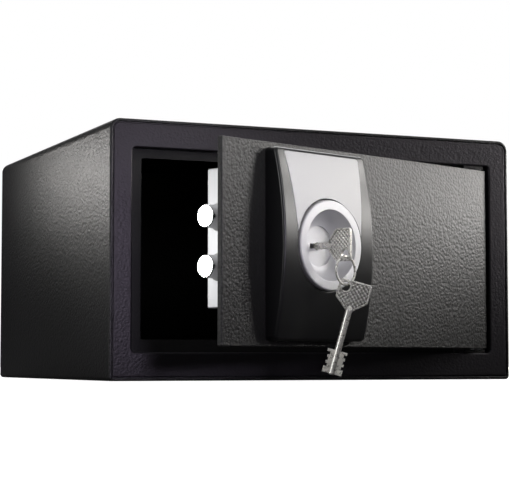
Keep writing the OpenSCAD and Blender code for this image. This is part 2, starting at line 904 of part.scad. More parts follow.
// Screws that hold the lock case to the door plate
module case_screws() {
    color("#e2e3e6")
        on_door()
            for (x = case_screw_xs, z = case_screw_zs)
                union() {
                    bar(x, z, small_r, y_plate - press_depth, y_plate + case_t);
                    bar(x, z, small_head_d / 2, y_plate + case_t, y_plate + case_t + small_head_h);
                }
}

// Screws that hold the cap to the lock case
module cap_screws() {
    color("#e2e3e6")
        on_door()
            for (s = [-1, 1])
                union() {
                    bar(lock_x + cap_boss_x, lock_z + s * cap_screw_z, cap_screw_r, cap_y0 - screw_l, cap_y1);
                    bar(lock_x + cap_boss_x, lock_z + s * cap_screw_z, cap_head_r, cap_y1, cap_y1 + cap_head_h);
                }
}

// Shouldered post that the carriage's slot runs on
module guide_post() {
    color("#b9bbc0")
        on_door()
            union() {
                bar(guide_x, bolt_mid, guide_r + 2, y_plate, carriage_y0 - free_gap);
                bar(guide_x, bolt_mid, guide_r, y_plate, stack_end);
            }
}

// Carriage: a plate with a slot for the cam's pin, a foot for the bolts and the stump
module bolt_carriage() {
    slot_x = lock_x + crank / sqrt(2);
    pin_low = lock_z + crank / sqrt(2) - cam_pin_r - slot_gap;
    pin_top = lock_z + crank + cam_pin_r + slot_gap;
    nut_half = nut_af / (2 * cos(30)) + free_gap;
    color("#c2c4c9")
        on_door()
            union() {
                slab(carriage_y0, carriage_y1)
                    difference() {
                        union() {
                            box2(foot_x0, bolt_mid - foot_h / 2, foot_x0 + foot_l, bolt_mid + foot_h / 2);
                            box2(foot_x0, bolt_mid - tongue_h / 2, tongue_x1, bolt_mid + tongue_h / 2);
                        }
                        box2(slot_x - cam_pin_r - slot_gap, pin_low, slot_x + cam_pin_r + slot_gap, pin_top);
                        for (s = [-1, 1])
                            translate([foot_x1, bolt_mid + s * bolt_pitch / 2 - nut_half])
                                square([nut_t + 1.5, 2 * nut_half]);
                        for (x = [guide_x, guide_x + bolt_throw])
                            translate([x, bolt_mid])
                                circle(r = guide_r + free_gap);
                        box2(
                            guide_x, bolt_mid - guide_r - free_gap,
                            guide_x + bolt_throw, bolt_mid + guide_r + free_gap
                        );
                    }
                difference() {
                    translate([foot_x0, bolt_y - bolt_r, bolt_mid - foot_h / 2])
                        cube([carriage_t, carriage_y0 - bolt_y + bolt_r, foot_h]);
                    for (s = [-1, 1])
                        translate([foot_x0 - cut, bolt_y, bolt_mid + s * bolt_pitch / 2])
                            rotate([0, 90, 0])
                                cylinder(d = tenon_d, h = carriage_t + 2 * cut);
                }
                slab(lever_y0, carriage_y0)
                    translate([lock_x + lever_x0 + 1, lock_z - stump_h / 2])
                        square([stump_w, stump_h]);
            }
}

// Two round bolts, chamfered at the free end, with a threaded end through the carriage's foot
module bolts() {
    chamfer = 1;
    color("#f0f0f2")
        on_door()
            for (s = [-1, 1])
                translate([bolt_x0, bolt_y, bolt_mid + s * bolt_pitch / 2])
                    rotate([0, 90, 0])
                        union() {
                            cylinder(r1 = bolt_r - chamfer, r2 = bolt_r, h = chamfer);
                            translate([0, 0, chamfer])
                                cylinder(r = bolt_r, h = foot_x0 - bolt_x0 - chamfer);
                            cylinder(d = tenon_d, h = foot_x1 - bolt_x0 + nut_t + 0.5);
                        }
}

// Nuts on the bolts' threaded ends
module bolt_nuts() {
    color("#b9bbc0")
        on_door()
            for (s = [-1, 1])
                translate([foot_x1, bolt_y, bolt_mid + s * bolt_pitch / 2])
                    rotate([0, 90, 0])
                        difference() {
                            cylinder(d = nut_af / cos(30), h = nut_t, $fn = 6);
                            translate([0, 0, -cut])
                                cylinder(d = tenon_d, h = nut_t + 2 * cut);
                        }
}

// Cam that the key's end turns: a hub in the cap, a disc and the crank pin
module drive_cam() {
    color("#d9b45a")
        on_door()
            difference() {
                union() {
                    bar(lock_x, lock_z, hub_r, cap_y0 + 0.2, cam_y1);
                    bar(lock_x, lock_z, cam_r, cam_y0, cam_y1);
                    bar(
                        lock_x + crank / sqrt(2), lock_z + crank / sqrt(2),
                        cam_pin_r, cam_y0, stack_end
                    );
                }
                bar(lock_x, lock_z, stem_r + free_gap, cap_y0, cam_y1 + cut);
                slab(cap_y0, cam_y1 + cut)
                    translate([lock_x, lock_z])
                        square([bit_t + 2 * free_gap, 2 * (bit_r + free_gap)], center = true);
            }
}

// One lever: a plate with the key's eye, the gate for the stump and two guide slots
module lever(i) {
    slot_half = lever_slide + free_gap;
    slab(lever_y0 + i * lever_step, lever_y0 + i * lever_step + lever_t)
        translate([lock_x, lock_z])
            difference() {
                box2(lever_x0, -lever_h / 2, lever_x1, lever_h / 2);
                circle(r = eye_r);
                box2(
                    lever_x0 - cut, -stump_h / 2 - stump_gap,
                    lever_x0 + gate_deep, stump_h / 2 + stump_gap
                );
                for (s = [-1, 1]) {
                    for (e = [-1, 1])
                        translate([guide_pin_x, s * guide_pin_z + e * slot_half])
                            circle(r = guide_pin_r + free_gap);
                    box2(
                        guide_pin_x - guide_pin_r - free_gap, s * guide_pin_z - slot_half,
                        guide_pin_x + guide_pin_r + free_gap, s * guide_pin_z + slot_half
                    );
                }
            }
}

// Levers that spring upwards
module levers_up() {
    color("#d9b45a")
        on_door()
            for (i = [0 : 2 : lever_n - 1])
                lever(i);
}

// Levers that spring downwards
module levers_down() {
    color("#cba24b")
        on_door()
            for (i = [1 : 2 : lever_n - 1])
                lever(i);
}

// A key: flat six-sided bow with an eye near one corner, round stem and two rows of bits
module key_solid() {
    half_w = bow_w / 2;
    half_neck = bow_neck / 2;
    bit_z0 = -stem_l + (key_tip_y - cam_y1) + free_gap;
    color("#c9c7bd")
        difference() {
            union() {
                slab(-bow_t / 2, bow_t / 2)
                    polygon([
                        [-half_neck, 0], [half_neck, 0], [half_w, bow_slant],
                        [half_w, bow_l], [-half_w, bow_l], [-half_w, bow_slant]
                    ]);
                translate([0, 0, -stem_l])
                    cylinder(r = stem_r, h = stem_l + 3);
                translate([-bit_r, -bit_t / 2, bit_z0])
                    cube([2 * bit_r, bit_t, bit_l]);
            }
            slab(-bow_t, bow_t)
                translate([hole_x, hole_z])
                    circle(r = bow_hole_r);
            for (i = [0 : lever_n - 1], s = [-1, 1])
                translate([0, -bit_t, -stem_l + key_tip_y - (lever_y0 + i * lever_step + lever_t)])
                    mirror([s < 0 ? 1 : 0, 0, 0])
                        translate([bit_r - bit_cuts[i] - (s < 0 ? 0.4 : 0), 0, 0])
                            cube([bit_r, 2 * bit_t, lever_t]);
        }
}

// The key in the lock, with its bow upright
module key() {
    on_door()
        translate([lock_x, y_front - bow_off, lock_z])
            rotate([0, -90, 0])
                rotate([90, 0, 0])
                    key_solid();
}

// Wire ring through the eyes of both keys
module key_ring() {
    color("#c8c8cc")
        on_door()
            translate([lock_x, keyring_y, keyring_z])
                rotate([90, 0, 0])
                    rotate_extrude()
                        translate([keyring_r, 0])
                            circle(r = wire_r);
}

// The spare key, hanging on the ring by its eye
module spare_key() {
    on_door()
        translate([lock_x, keyring_y, wire_low_z - spare_hang])
            rotate([0, 0, -spare_turn])
                rotate([0, spare_lean, 0])
                    translate([-hole_x, 0, -hole_z])
                        key_solid();
}

body_shell();
rear_panel();
front_frame();
hinge_brackets();
hinge_washers();
floor_mat();
door_plate();
hinge_straps();
hinge_pins();
escutcheon();
escutcheon_insert();
escutcheon_screws();
lock_ring();
keyway_disc();
boltwork_cover();
cover_posts();
cover_screws();
bolt_bushes();
lock_case();
lock_case_cap();
lever_guides();
lever_springs();
case_screws();
cap_screws();
guide_post();
bolt_carriage();
bolts();
bolt_nuts();
drive_cam();
levers_up();
levers_down();
key();
key_ring();
spare_key();
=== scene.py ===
"""Looks of a compact key safe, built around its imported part.

Lengths are in millimetres in the frame's directions, and MM turns them into metres when a mesh is made.
An outline is an array of points in X and Z, and a mesh is a pair of its points and its faces.
What belongs to the door is worked out with the door shut and is then turned about the hinge.
"""
import json
import math

import bmesh
import bpy
import numpy as np
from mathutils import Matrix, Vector

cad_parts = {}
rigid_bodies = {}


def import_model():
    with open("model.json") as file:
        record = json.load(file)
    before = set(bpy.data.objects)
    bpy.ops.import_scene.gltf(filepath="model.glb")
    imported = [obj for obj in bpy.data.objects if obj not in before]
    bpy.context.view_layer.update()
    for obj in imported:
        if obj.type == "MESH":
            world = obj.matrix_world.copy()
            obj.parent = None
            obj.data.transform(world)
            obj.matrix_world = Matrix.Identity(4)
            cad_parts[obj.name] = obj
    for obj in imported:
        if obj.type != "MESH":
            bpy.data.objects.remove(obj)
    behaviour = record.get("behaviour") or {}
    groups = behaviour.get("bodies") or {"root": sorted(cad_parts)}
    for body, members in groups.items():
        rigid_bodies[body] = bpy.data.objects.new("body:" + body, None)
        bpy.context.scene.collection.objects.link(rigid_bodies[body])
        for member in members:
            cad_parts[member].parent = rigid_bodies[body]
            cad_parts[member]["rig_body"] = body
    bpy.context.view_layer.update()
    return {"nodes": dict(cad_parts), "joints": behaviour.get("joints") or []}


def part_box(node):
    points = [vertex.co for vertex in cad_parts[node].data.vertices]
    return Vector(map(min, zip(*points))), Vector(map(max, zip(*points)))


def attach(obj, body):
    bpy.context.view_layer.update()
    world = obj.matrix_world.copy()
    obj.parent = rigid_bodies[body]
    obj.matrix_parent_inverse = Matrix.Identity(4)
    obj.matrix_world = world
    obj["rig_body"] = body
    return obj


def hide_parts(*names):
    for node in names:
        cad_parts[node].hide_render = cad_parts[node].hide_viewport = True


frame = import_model()

MM = 0.001
JOINTS = {joint["name"]: joint for joint in frame["joints"]}

# Camera, found from the perspective of the photograph
CAMERA_PLACE = (-462.71, -1096.75, 12.59)
CAMERA_YAW = 23.37
CAMERA_PITCH = 3.9
CAMERA_LENS = 114.8

# Light: the lamps' two tints, the dim room, and the white that reflections see high up in it
WARM = (1, 0.975, 0.945)
COOL = (0.9, 0.83, 1)
ROOM = (0.012, 0.012, 0.0125, 1)
SKY_SHARE = 0.4
SKY_LOW = 0.3
SKY_HIGH = 0.9

# Floor: its reach and drop, what it throws back, and its own light, which grows away from the object
FLOOR_REACH = 6000.0
FLOOR_DROP = 0.05
FLOOR_BOUNCE = (0.1, 0.1, 0.1, 1)
FLOOR_SEEN = (0.9, 0.9, 0.9, 1)
GLOW_NEAR = 0.84
GLOW_FAR = 1.0
FADE_START = 350.0
FADE_END = 1200.0

# Body and front frame
SHELL_LOW, SHELL_HIGH = [np.array(corner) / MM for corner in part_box("body_shell")]
HALF_W = SHELL_HIGH[0]
Y_FRONT = SHELL_LOW[1]
Y_REAR = SHELL_HIGH[1]
BODY_H = SHELL_HIGH[2]
WALL = 2.0
WALL_EDGE_OUT = 0.9
WALL_EDGE_IN = 0.6
CUT_EDGE = 0.3
TOP_R = 7.0
BASE_R = 2.5
FIX_D = 9.0
FIX_PITCH = 170.0
SIDE_BAND = 15.0
END_BAND = 18.0
FRAME_T = 1.5
FRAME_FOLD = 1.2
SEAM = 0.6
SEAM_DEEP = 0.8
SEAM_EDGE = 0.5
FLANGE_DEEP = 10.0
FLANGE_EDGE = 0.2
RETURN_DEEP = 8.0
OPEN_R = 2.5
OPEN_X = HALF_W - SIDE_BAND
OPEN_Z0 = END_BAND
OPEN_Z1 = BODY_H - END_BAND
LIP_LATCH = 8.0
LIP_TOP = 6.0
LIP_BASE = 8.0
LIP_END = 104.75
LIP_R = 1.5
LIP_END_R = 1.0
LIP_OUTER_R = 4.0
LIP_EDGE = 0.25
SKIN_GAP = 0.03

# Door and hinge
PIVOT = np.array(JOINTS["door_hinge"]["pos_m"][:2]) / MM
DOOR_OPEN = -math.radians(JOINTS["door_hinge"]["range_deg"][0])
DOOR_T = 4.0
LATCH_GAP = 4.0
HINGE_GAP = 2.25
END_GAP = 3.0
DOOR_X0 = -OPEN_X + LATCH_GAP
DOOR_X1 = OPEN_X - HINGE_GAP
DOOR_Z0 = OPEN_Z0 + END_GAP
DOOR_Z1 = OPEN_Z1 - END_GAP
DOOR_SIDE_EDGE = 0.8
DOOR_END_EDGE = 0.7
HINGE_BEVEL = 1.5
Y_PLATE = Y_FRONT + DOOR_T
KNUCKLE_RELIEF = 4.5
KNUCKLE_SPANS = ((20.0, 40.3), (124.5, 145.0))

# Escutcheon's housing, insert, ring and keyway
LOCK_IN = 76.0
LOCK_X = DOOR_X0 + LOCK_IN
LOCK_Z = (DOOR_Z0 + DOOR_Z1) / 2
LOCK_AXIS = np.array([LOCK_X, LOCK_Z])
HOUSING_W = 80.0
HOUSING_H = 116.0
HOUSING_END = 8.0
HOUSING_MID = 16.0
HOUSING_R = 3.0
HOUSING_EDGE = 1.7
CURVE_R = ((HOUSING_H / 2) ** 2 + (HOUSING_MID - HOUSING_END) ** 2) / (2 * (HOUSING_MID - HOUSING_END))
CURVE_Y = Y_FRONT - HOUSING_MID + CURVE_R
RING_R = 27.5
RING_OFF = 17.0
RING_FLANGE = 4.5
RING_BODY_R = 23.5
RING_EDGE = 1.0
RING_FOOT_EDGE = 0.3
RING_BODY_EDGE = 0.2
MOUTH_R = 21.75
MOUTH_EDGE = 0.4
DISC_R = 12.5
DISC_OFF = 5.0
DISC_EDGE = 0.1
BOWL_STEP = 1.2
BOWL_CENTRE = 0.5
POCKET_GAP = 0.8
POCKET_R = RING_R + POCKET_GAP
POCKET_OFF = RING_OFF - RING_FLANGE
POCKET_EDGE = 0.4
POCKET_EDGE_MID = 0.12
INSERT_DROP = 2.0
INSERT_RISE = 7.5
INSERT_TOP = LOCK_Z + HOUSING_H / 2 - INSERT_DROP
INSERT_TIP = LOCK_Z + INSERT_RISE
INSERT_TOP_HALF = 33.0
INSERT_TIP_HALF = 28.3
INSERT_T = 1.2
INSERT_PROUD = 0.2
INSERT_GAP = 0.3
INSERT_R = 1.5
INSERT_SPACING = 2.5
SEAT_GAP = 0.15
BARREL_R = 9.0

# Key and key ring, with the stem's root as radius and height, and the bits placed from the key's tip
STEM_R = 2.0
STEM_ROOT = ((0, 3.2), (0.9, 3.0), (STEM_R, 0.6), (STEM_R, -0.6))
STEM_POINT = 0.7
KEY_REACH = 21.2
BIT_R = 6.0
BIT_T = 2.0
BIT_EDGE = 0.12
BIT_CUTS = (1.6, 0.4, 1.1, 0.2, 1.4)
BIT_LEFT_CUT = 0.4
BITS_LOW = 0.5
BITS_HIGH = 14.9
LEVER_STEP = 1.8
LEVERS_TOP = 13.2
BOW_OFF = 14.6
BOW_L = 18.0
BOW_W = 20.0
BOW_T = 2.2
BOW_NECK = 4.6
BOW_SLANT = 6.5
BOW_NECK_R = 0.3
BOW_SLANT_R = 2.2
BOW_END_R = 1.6
BOW_SPACING = 0.35
BOW_EDGE = 0.4
BOW_SINK = 0.28
BOW_RIM = 1.65
RIM_TOP = 1.0
RIM_FOOT = 1.25
EYE_R = 2.75
EYE_EDGE = 0.3
EYE = np.array([BOW_RIM + EYE_R - BOW_W / 2, BOW_L - BOW_RIM - EYE_R])
COLLAR_TOP = 0.75
COLLAR_FOOT = 1.0
COLLAR_ROOM = 1.2
HATCH_STEP = 1.9
RIB_RISE = 0.13
CROSS_RISE = 0.09
WIRE_R = 0.75
KEYRING_R = 8.5
RING_SLACK = 0.4
SPARE_SLACK = 1.0
SPARE_LEAN = 15.5
SPARE_TURN = 45.0

# Boltwork behind the door
COVER_IN = 17.0
COVER_L = 118.0
COVER_H = 84.0
COVER_DEEP = 26.4
COVER_T = 1.5
COVER_BEND = 0.8
COVER_RISE = 3.5
COVER_X0 = DOOR_X0 + COVER_IN
COVER_X1 = COVER_X0 + COVER_L
COVER_MID = LOCK_Z + COVER_RISE
COVER_REAR = Y_PLATE + COVER_DEEP
BOLT_R = 7.0
BOLT_PITCH = 30.0
BOLT_RISE = 1.0
BOLT_DEEP = 16.6
BOLT_OUT = 11.0
BOLT_IN = 17.5
BOLT_MID = LOCK_Z + BOLT_RISE
BOLT_Y = Y_PLATE + BOLT_DEEP
BOLT_X0 = COVER_X0 - BOLT_OUT
BOLT_X1 = COVER_X0 + COVER_T + BOLT_IN
BOLT_EDGE = 0.6
BOLT_SHOULDER = 0.2
TENON_R = 4.0
TENON_L = 7.0
DOME_R = 3.9
DOME_H = 4.5
SCREW_R = 2.0
SCREW_L = 9.0
SCREW_IN_X = 6.0
SCREW_IN_Z = 7.5
CROSS_L = 3.4
CROSS_W = 0.8
CROSS_DEEP = 1.8

# Grain of the paint, and the pointiness over which painted shade fills the hollows of a pressed pattern
GRAIN_PUSH = 1.1
GRAIN_FINER = 2.7
GRAIN_FINE_SHARE = 0.35
HOLLOW = 0.45
CREST = 0.54

# Limits: the least radius and length, the sharpest corner, how far a cutter stands out, and what counts as
# one point or one flat face
LEAST_R = 0.05
TINY = 1e-9
MITRE_LIMIT = 0.4
CUT_OVER = 1.0
WELD = 0.001
COPY_WELD = 0.002
FLAT_ANGLE = 0.5


# Outlines
def unit(vectors):
    """Vectors divided by their lengths."""
    return vectors / np.linalg.norm(vectors, axis=-1, keepdims=True)


def fillet(corners, radii, steps=6):
    """A closed outline with each corner turned into an arc that touches both of its sides.

    An arc's centre lies on the line that halves its corner, at the radius over the sine of the half angle,
    and its ends lie along the sides, at the radius over the tangent. A point of the arc is the sum of the
    spokes to both ends, each times the sine of the angle from the other end, over the sine of the whole
    turn. A radius of nothing keeps the corner as one point.
    """
    corners = np.asarray(corners, float)
    radii = np.asarray(radii, float)[:, None]
    before = unit(np.roll(corners, 1, axis=0) - corners)
    after = unit(np.roll(corners, -1, axis=0) - corners)
    half = np.arccos(np.clip(np.sum(before * after, axis=1, keepdims=True), -1, 1)) / 2
    centres = corners + unit(before + after) * radii / np.sin(half)
    first = corners + before * radii / np.tan(half) - centres
    last = corners + after * radii / np.tan(half) - centres
    turn = math.pi - 2 * half[:, None]
    share = np.linspace(0, 1, steps + 1)[:, None]
    spokes = np.sin((1 - share) * turn) * first[:, None] + np.sin(share * turn) * last[:, None]
    arcs = centres[:, None] + spokes / np.sin(turn)
    kept = (radii > 0) | (np.arange(steps + 1) == 0)
    return arcs[kept]


def soft_rect(x0, z0, x1, z1, r_top, r_low, steps=8, straights=1):
    """A rectangle with round corners, always with as many points, so that two of them can be joined.

    Each straight is cut into equal parts, by adding shares of its length to where it starts.
    """
    radii = np.maximum([r_low, r_top, r_top, r_low], LEAST_R)
    arcs = fillet([(x1, z0), (x1, z1), (x0, z1), (x0, z0)], radii, steps).reshape(4, steps + 1, 2)
    starts = arcs[:, -1:]
    ways = np.roll(arcs, -1, axis=0)[:, :1] - starts
    shares = np.arange(1, straights)[:, None] / straights
    return np.concatenate([arcs, starts + ways * shares], axis=1).reshape(-1, 2)


def circle(radius, count=48):
    """A circle round the origin: the radius times the cosine and sine of evenly spaced angles."""
    angles = np.linspace(0, 2 * math.pi, count, endpoint=False)
    return radius * np.column_stack([np.cos(angles), np.sin(angles)])


def grow(outline, out):
    """A closed outline moved outwards by out, with its corners kept sharp.

    A point moves along the sum of the outward normals of its two sides, by twice out over the square of
    that sum's length, so that both sides move by out. The square counts as MITRE_LIMIT at least, so that a
    very sharp corner doesn't run away.
    """
    before = outline - np.roll(outline, 1, axis=0)
    after = np.roll(outline, -1, axis=0) - outline
    area = np.sum(outline[:, 0] * np.roll(outline[:, 1], -1) - np.roll(outline[:, 0], -1) * outline[:, 1])
    side = math.copysign(1, area)
    normals = [side * np.column_stack([d[:, 1], -d[:, 0]]) for d in (before, after)]
    first, second = [n / np.maximum(np.linalg.norm(n, axis=1, keepdims=True), TINY) for n in normals]
    middle = first + second
    square = np.sum(middle * middle, axis=1, keepdims=True)
    return outline + out * 2 * middle / np.maximum(square, MITRE_LIMIT)


def divided(line, spacing):
    """A line of points with more put in, so that each stretch has as many parts as spacings fit in it.

    A new point is the stretch's start plus a share of the stretch, which is its number over the parts.
    """
    ways = np.diff(line, axis=0)
    parts = np.maximum((np.linalg.norm(ways, axis=1) / spacing).astype(int), 1)
    numbers = np.arange(parts.sum()) - np.repeat(np.cumsum(parts) - parts, parts)
    shares = numbers / np.repeat(parts, parts)
    points = np.repeat(line[:-1], parts, axis=0) + np.repeat(ways, parts, axis=0) * shares[:, None]
    return np.vstack([points, line[-1:]])


def at_y(outline, y):
    """Points in X and Z, placed at depth y, which is one value or one for each point."""
    return np.stack([outline[..., 0], np.broadcast_to(y, outline.shape[:-1]), outline[..., 1]], axis=-1)


# Meshes
def stitch(loops, closed=False, caps=False):
    """A skin over loops that all have as many points.

    A face joins two neighbours on one loop to the same two on the next. Closed joins the last loop to the
    first, and caps fill the first and the last.
    """
    here = np.arange(len(loops) * len(loops[0])).reshape(len(loops), -1)
    beside = np.roll(here, -1, axis=1)
    quads = np.stack([here, beside, np.roll(beside, -1, axis=0), np.roll(here, -1, axis=0)], axis=-1)
    rows = len(loops) if closed else len(loops) - 1
    faces = quads[:rows].reshape(-1, 4).tolist()
    if caps:
        faces += here[[0, -1]].tolist()
    return np.vstack(loops), faces


def prism(outline, low, high, edge, steps=3):
    """An outline given a thickness from low to high along the third axis, with its edges rounded.

    Over a quarter turn, a loop is drawn in by the edge times one less the turn's sine, at the edge times one
    less its cosine from the nearer end.
    """
    turns = np.linspace(0, math.pi / 2, steps + 1)
    insets = edge * (1 - np.sin(turns))
    rises = edge * (1 - np.cos(turns))
    levels = [*zip(insets, low + rises), *zip(insets[::-1], high - rises[::-1])]
    loops = [
        np.column_stack([grow(outline, -inset), np.full(len(outline), height)])
        for inset, height in levels
    ]
    return stitch(loops, caps=True)


def plate(outline, y0, y1, edge):
    """A prism whose outline lies in X and Z and whose thickness runs along Y."""
    points, faces = prism(outline, y0, y1, edge)
    return points[:, [0, 2, 1]], faces


def revolve(profile, count=64, closed=True):
    """A profile of radius and height, turned about the third axis.

    The first two coordinates are the radius times the cosine and sine of evenly spaced angles.
    """
    spokes = circle(1, count)
    radius, height = np.array(profile, float).T[:, :, None, None]
    heights = np.broadcast_to(height, (len(profile), count, 1))
    return stitch(np.concatenate([radius * spokes, heights], axis=-1), closed=closed)


def joined(*parts):
    """Several meshes as one, with the later ones' faces counted on."""
    points, faces, start = [], [], 0
    for part_points, part_faces in parts:
        points.append(part_points)
        faces += [[start + number for number in face] for face in part_faces]
        start += len(part_points)
    return np.vstack(points), faces


def moved(part, shift):
    """A mesh shifted by three lengths."""
    return part[0] + np.array(shift, float), part[1]


def turned(part, axis, angle):
    """A mesh turned about one of the axes through the origin, by an angle in degrees."""
    c, s = math.cos(math.radians(angle)), math.sin(math.radians(angle))
    matrix = {
        "x": [[1, 0, 0], [0, c, -s], [0, s, c]],
        "y": [[c, 0, s], [0, 1, 0], [-s, 0, c]],
        "z": [[c, -s, 0], [s, c, 0], [0, 0, 1]],
    }[axis]
    return part[0] @ np.array(matrix).T, part[1]


def facing_front(part):
    """A mesh whose third axis becomes the way out of the door, from the lock's axis at the door's face."""
    points = part[0]
    return np.column_stack([LOCK_X + points[:, 0], Y_FRONT - points[:, 2], LOCK_Z + points[:, 1]]), part[1]


def along_bolt(part):
    """A mesh whose third axis becomes X."""
    return part[0][:, [2, 0, 1]], part[1]


def swung(part):
    """A mesh of the shut door, turned about the hinge to where the door stands."""
    pivot = np.array([*PIVOT, 0])
    points, faces = turned(moved(part, -pivot), "z", math.degrees(DOOR_OPEN))
    return points + pivot, faces


# Pieces
def solid(name, part):
    """An object from a mesh in millimetres, welded and with its faces turned outwards."""
    mesh = bpy.data.meshes.new(name)
    mesh.from_pydata((part[0] * MM).tolist(), [], part[1])
    tidy = bmesh.new()
    tidy.from_mesh(mesh)
    bmesh.ops.remove_doubles(tidy, verts=tidy.verts, dist=WELD * MM)
    bmesh.ops.recalc_face_normals(tidy, faces=tidy.faces)
    tidy.to_mesh(mesh)
    tidy.free()
    piece = bpy.data.objects.new(name, mesh)
    bpy.context.scene.collection.objects.link(piece)
    return piece


def cut_out(piece, *parts):
    """Cuts closed meshes out of a piece, and keeps what is left as the piece's own mesh."""
    cutters = [solid("cutter", part) for part in parts]
    for cutter in cutters:
        cut = piece.modifiers.new("Cut", "BOOLEAN")
        cut.operation = "DIFFERENCE"
        cut.solver = "EXACT"
        cut.object = cutter
    graph = bpy.context.evaluated_depsgraph_get()
    result = bpy.data.meshes.new_from_object(piece.evaluated_get(graph))
    piece.modifiers.clear()
    piece.data = result
    for cutter in cutters:
        bpy.data.objects.remove(cutter)


def dress(piece, material, body, *nodes, crease=35, bevel=0):
    """Shades a piece, gives it its material, says what it rides on and hides the nodes it stands for."""
    piece.data.materials.clear()
    piece.data.materials.append(material)
    piece.data.shade_smooth()
    if bevel:
        edges = piece.modifiers.new("Rounded edges", "BEVEL")
        edges.width = bevel * MM
        edges.segments = 2
        edges.limit_method = "ANGLE"
        edges.angle_limit = math.radians(crease)
        edges.use_clamp_overlap = False
    else:
        piece.data.set_sharp_from_angle(angle=math.radians(crease))
    normals = piece.modifiers.new("Flat faces stay flat", "WEIGHTED_NORMAL")
    normals.keep_sharp = True
    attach(piece, body)
    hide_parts(*nodes)
    return piece


def rounded_copy(node, material, width):
    """A node's own mesh, welded into flat faces and with its edges rounded."""
    source = frame["nodes"][node]
    mesh = source.data.copy()
    mesh.name = node + "_rounded"
    tidy = bmesh.new()
    tidy.from_mesh(mesh)
    bmesh.ops.remove_doubles(tidy, verts=tidy.verts, dist=COPY_WELD * MM)
    flat = math.radians(FLAT_ANGLE)
    bmesh.ops.dissolve_limit(tidy, angle_limit=flat, verts=tidy.verts, edges=tidy.edges)
    tidy.to_mesh(mesh)
    tidy.free()
    piece = bpy.data.objects.new(mesh.name, mesh)
    bpy.context.scene.collection.objects.link(piece)
    return dress(piece, material, source["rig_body"], node, bevel=width)


# Materials
def shader_of(name, **values):
    """A new material, its nodes and its shader, with plain values set on the shader."""
    material = bpy.data.materials.new(name)
    material["slot"] = name
    material.use_nodes = True
    tree = material.node_tree
    shader = tree.nodes["Principled BSDF"]
    for socket, value in values.items():
        shader.inputs[socket.replace("_", " ")].default_value = value
    return material, tree, shader


def add(tree, kind, **values):
    """A new node, with its properties and plain inputs set."""
    node = tree.nodes.new(kind)
    for key, value in values.items():
        if hasattr(node, key):
            setattr(node, key, value)
        else:
            node.inputs[key.replace("_", " ")].default_value = value
    return node


def maths(tree, operation, first, second):
    """A sum, product or other operation on two sockets or values."""
    node = tree.nodes.new("ShaderNodeMath")
    node.operation = operation
    for socket, value in zip(node.inputs, (first, second)):
        if isinstance(value, bpy.types.NodeSocket):
            tree.links.new(value, socket)
        else:
            socket.default_value = value
    return node.outputs[0]


def grain_group():
    """Pebbled grain of a textured coat: round cells pushed about by a coarser noise.

    The height is one less the distance from a cell's middle, plus a share of a finer noise, and the fleck
    is that finer noise alone.
    """
    group = bpy.data.node_groups.new("Pebble grain", "ShaderNodeTree")
    group.interface.new_socket("Cells", in_out="INPUT", socket_type="NodeSocketFloat")
    group.interface.new_socket("Height", in_out="OUTPUT", socket_type="NodeSocketFloat")
    group.interface.new_socket("Fleck", in_out="OUTPUT", socket_type="NodeSocketFloat")
    start = group.nodes.new("NodeGroupInput")
    end = group.nodes.new("NodeGroupOutput")
    place = group.nodes.new("ShaderNodeTexCoord")
    push = add(group, "ShaderNodeTexNoise", Detail=2.0)
    group.links.new(place.outputs["Object"], push.inputs["Vector"])
    group.links.new(start.outputs["Cells"], push.inputs["Scale"])
    spread = add(group, "ShaderNodeVectorMath", operation="SCALE", Scale=GRAIN_PUSH * MM)
    group.links.new(push.outputs["Color"], spread.inputs[0])
    pushed_place = add(group, "ShaderNodeVectorMath", operation="ADD")
    group.links.new(place.outputs["Object"], pushed_place.inputs[0])
    group.links.new(spread.outputs[0], pushed_place.inputs[1])
    cells = add(group, "ShaderNodeTexVoronoi", feature="SMOOTH_F1", Smoothness=0.25)
    group.links.new(pushed_place.outputs[0], cells.inputs["Vector"])
    group.links.new(start.outputs["Cells"], cells.inputs["Scale"])
    fine = add(group, "ShaderNodeTexNoise", Detail=3.0)
    group.links.new(place.outputs["Object"], fine.inputs["Vector"])
    group.links.new(maths(group, "MULTIPLY", start.outputs["Cells"], GRAIN_FINER), fine.inputs["Scale"])
    domes = maths(group, "SUBTRACT", 1.0, cells.outputs["Distance"])
    height = maths(group, "ADD", domes, maths(group, "MULTIPLY", fine.outputs[0], GRAIN_FINE_SHARE))
    group.links.new(height, end.inputs["Height"])
    group.links.new(fine.outputs[0], end.inputs["Fleck"])
    return group


def brush_group():
    """Fine brush lines of rolled or turned metal: noise on the place times the stretch.

    The stretch says how many times in a metre the noise varies along each axis, so lines run along the axis
    where it is small.
    """
    group = bpy.data.node_groups.new("Brush lines", "ShaderNodeTree")
    group.interface.new_socket("Stretch", in_out="INPUT", socket_type="NodeSocketVector")
    group.interface.new_socket("Line", in_out="OUTPUT", socket_type="NodeSocketFloat")
    start = group.nodes.new("NodeGroupInput")
    end = group.nodes.new("NodeGroupOutput")
    place = group.nodes.new("ShaderNodeTexCoord")
    stretch = add(group, "ShaderNodeVectorMath", operation="MULTIPLY")
    group.links.new(place.outputs["Object"], stretch.inputs[0])
    group.links.new(start.outputs["Stretch"], stretch.inputs[1])
    lines = add(group, "ShaderNodeTexNoise", Scale=1.0, Detail=4.0, Roughness=0.6)
    group.links.new(stretch.outputs[0], lines.inputs["Vector"])
    group.links.new(lines.outputs[0], end.inputs["Line"])
    return group


GRAIN = grain_group()
BRUSH = brush_group()


def ramp(tree, socket, low, high):
    """A value between low and high as the socket goes from 0 to 1."""
    node = add(tree, "ShaderNodeMapRange", To_Min=low, To_Max=high)
    tree.links.new(socket, node.inputs["Value"])
    return node.outputs[0]


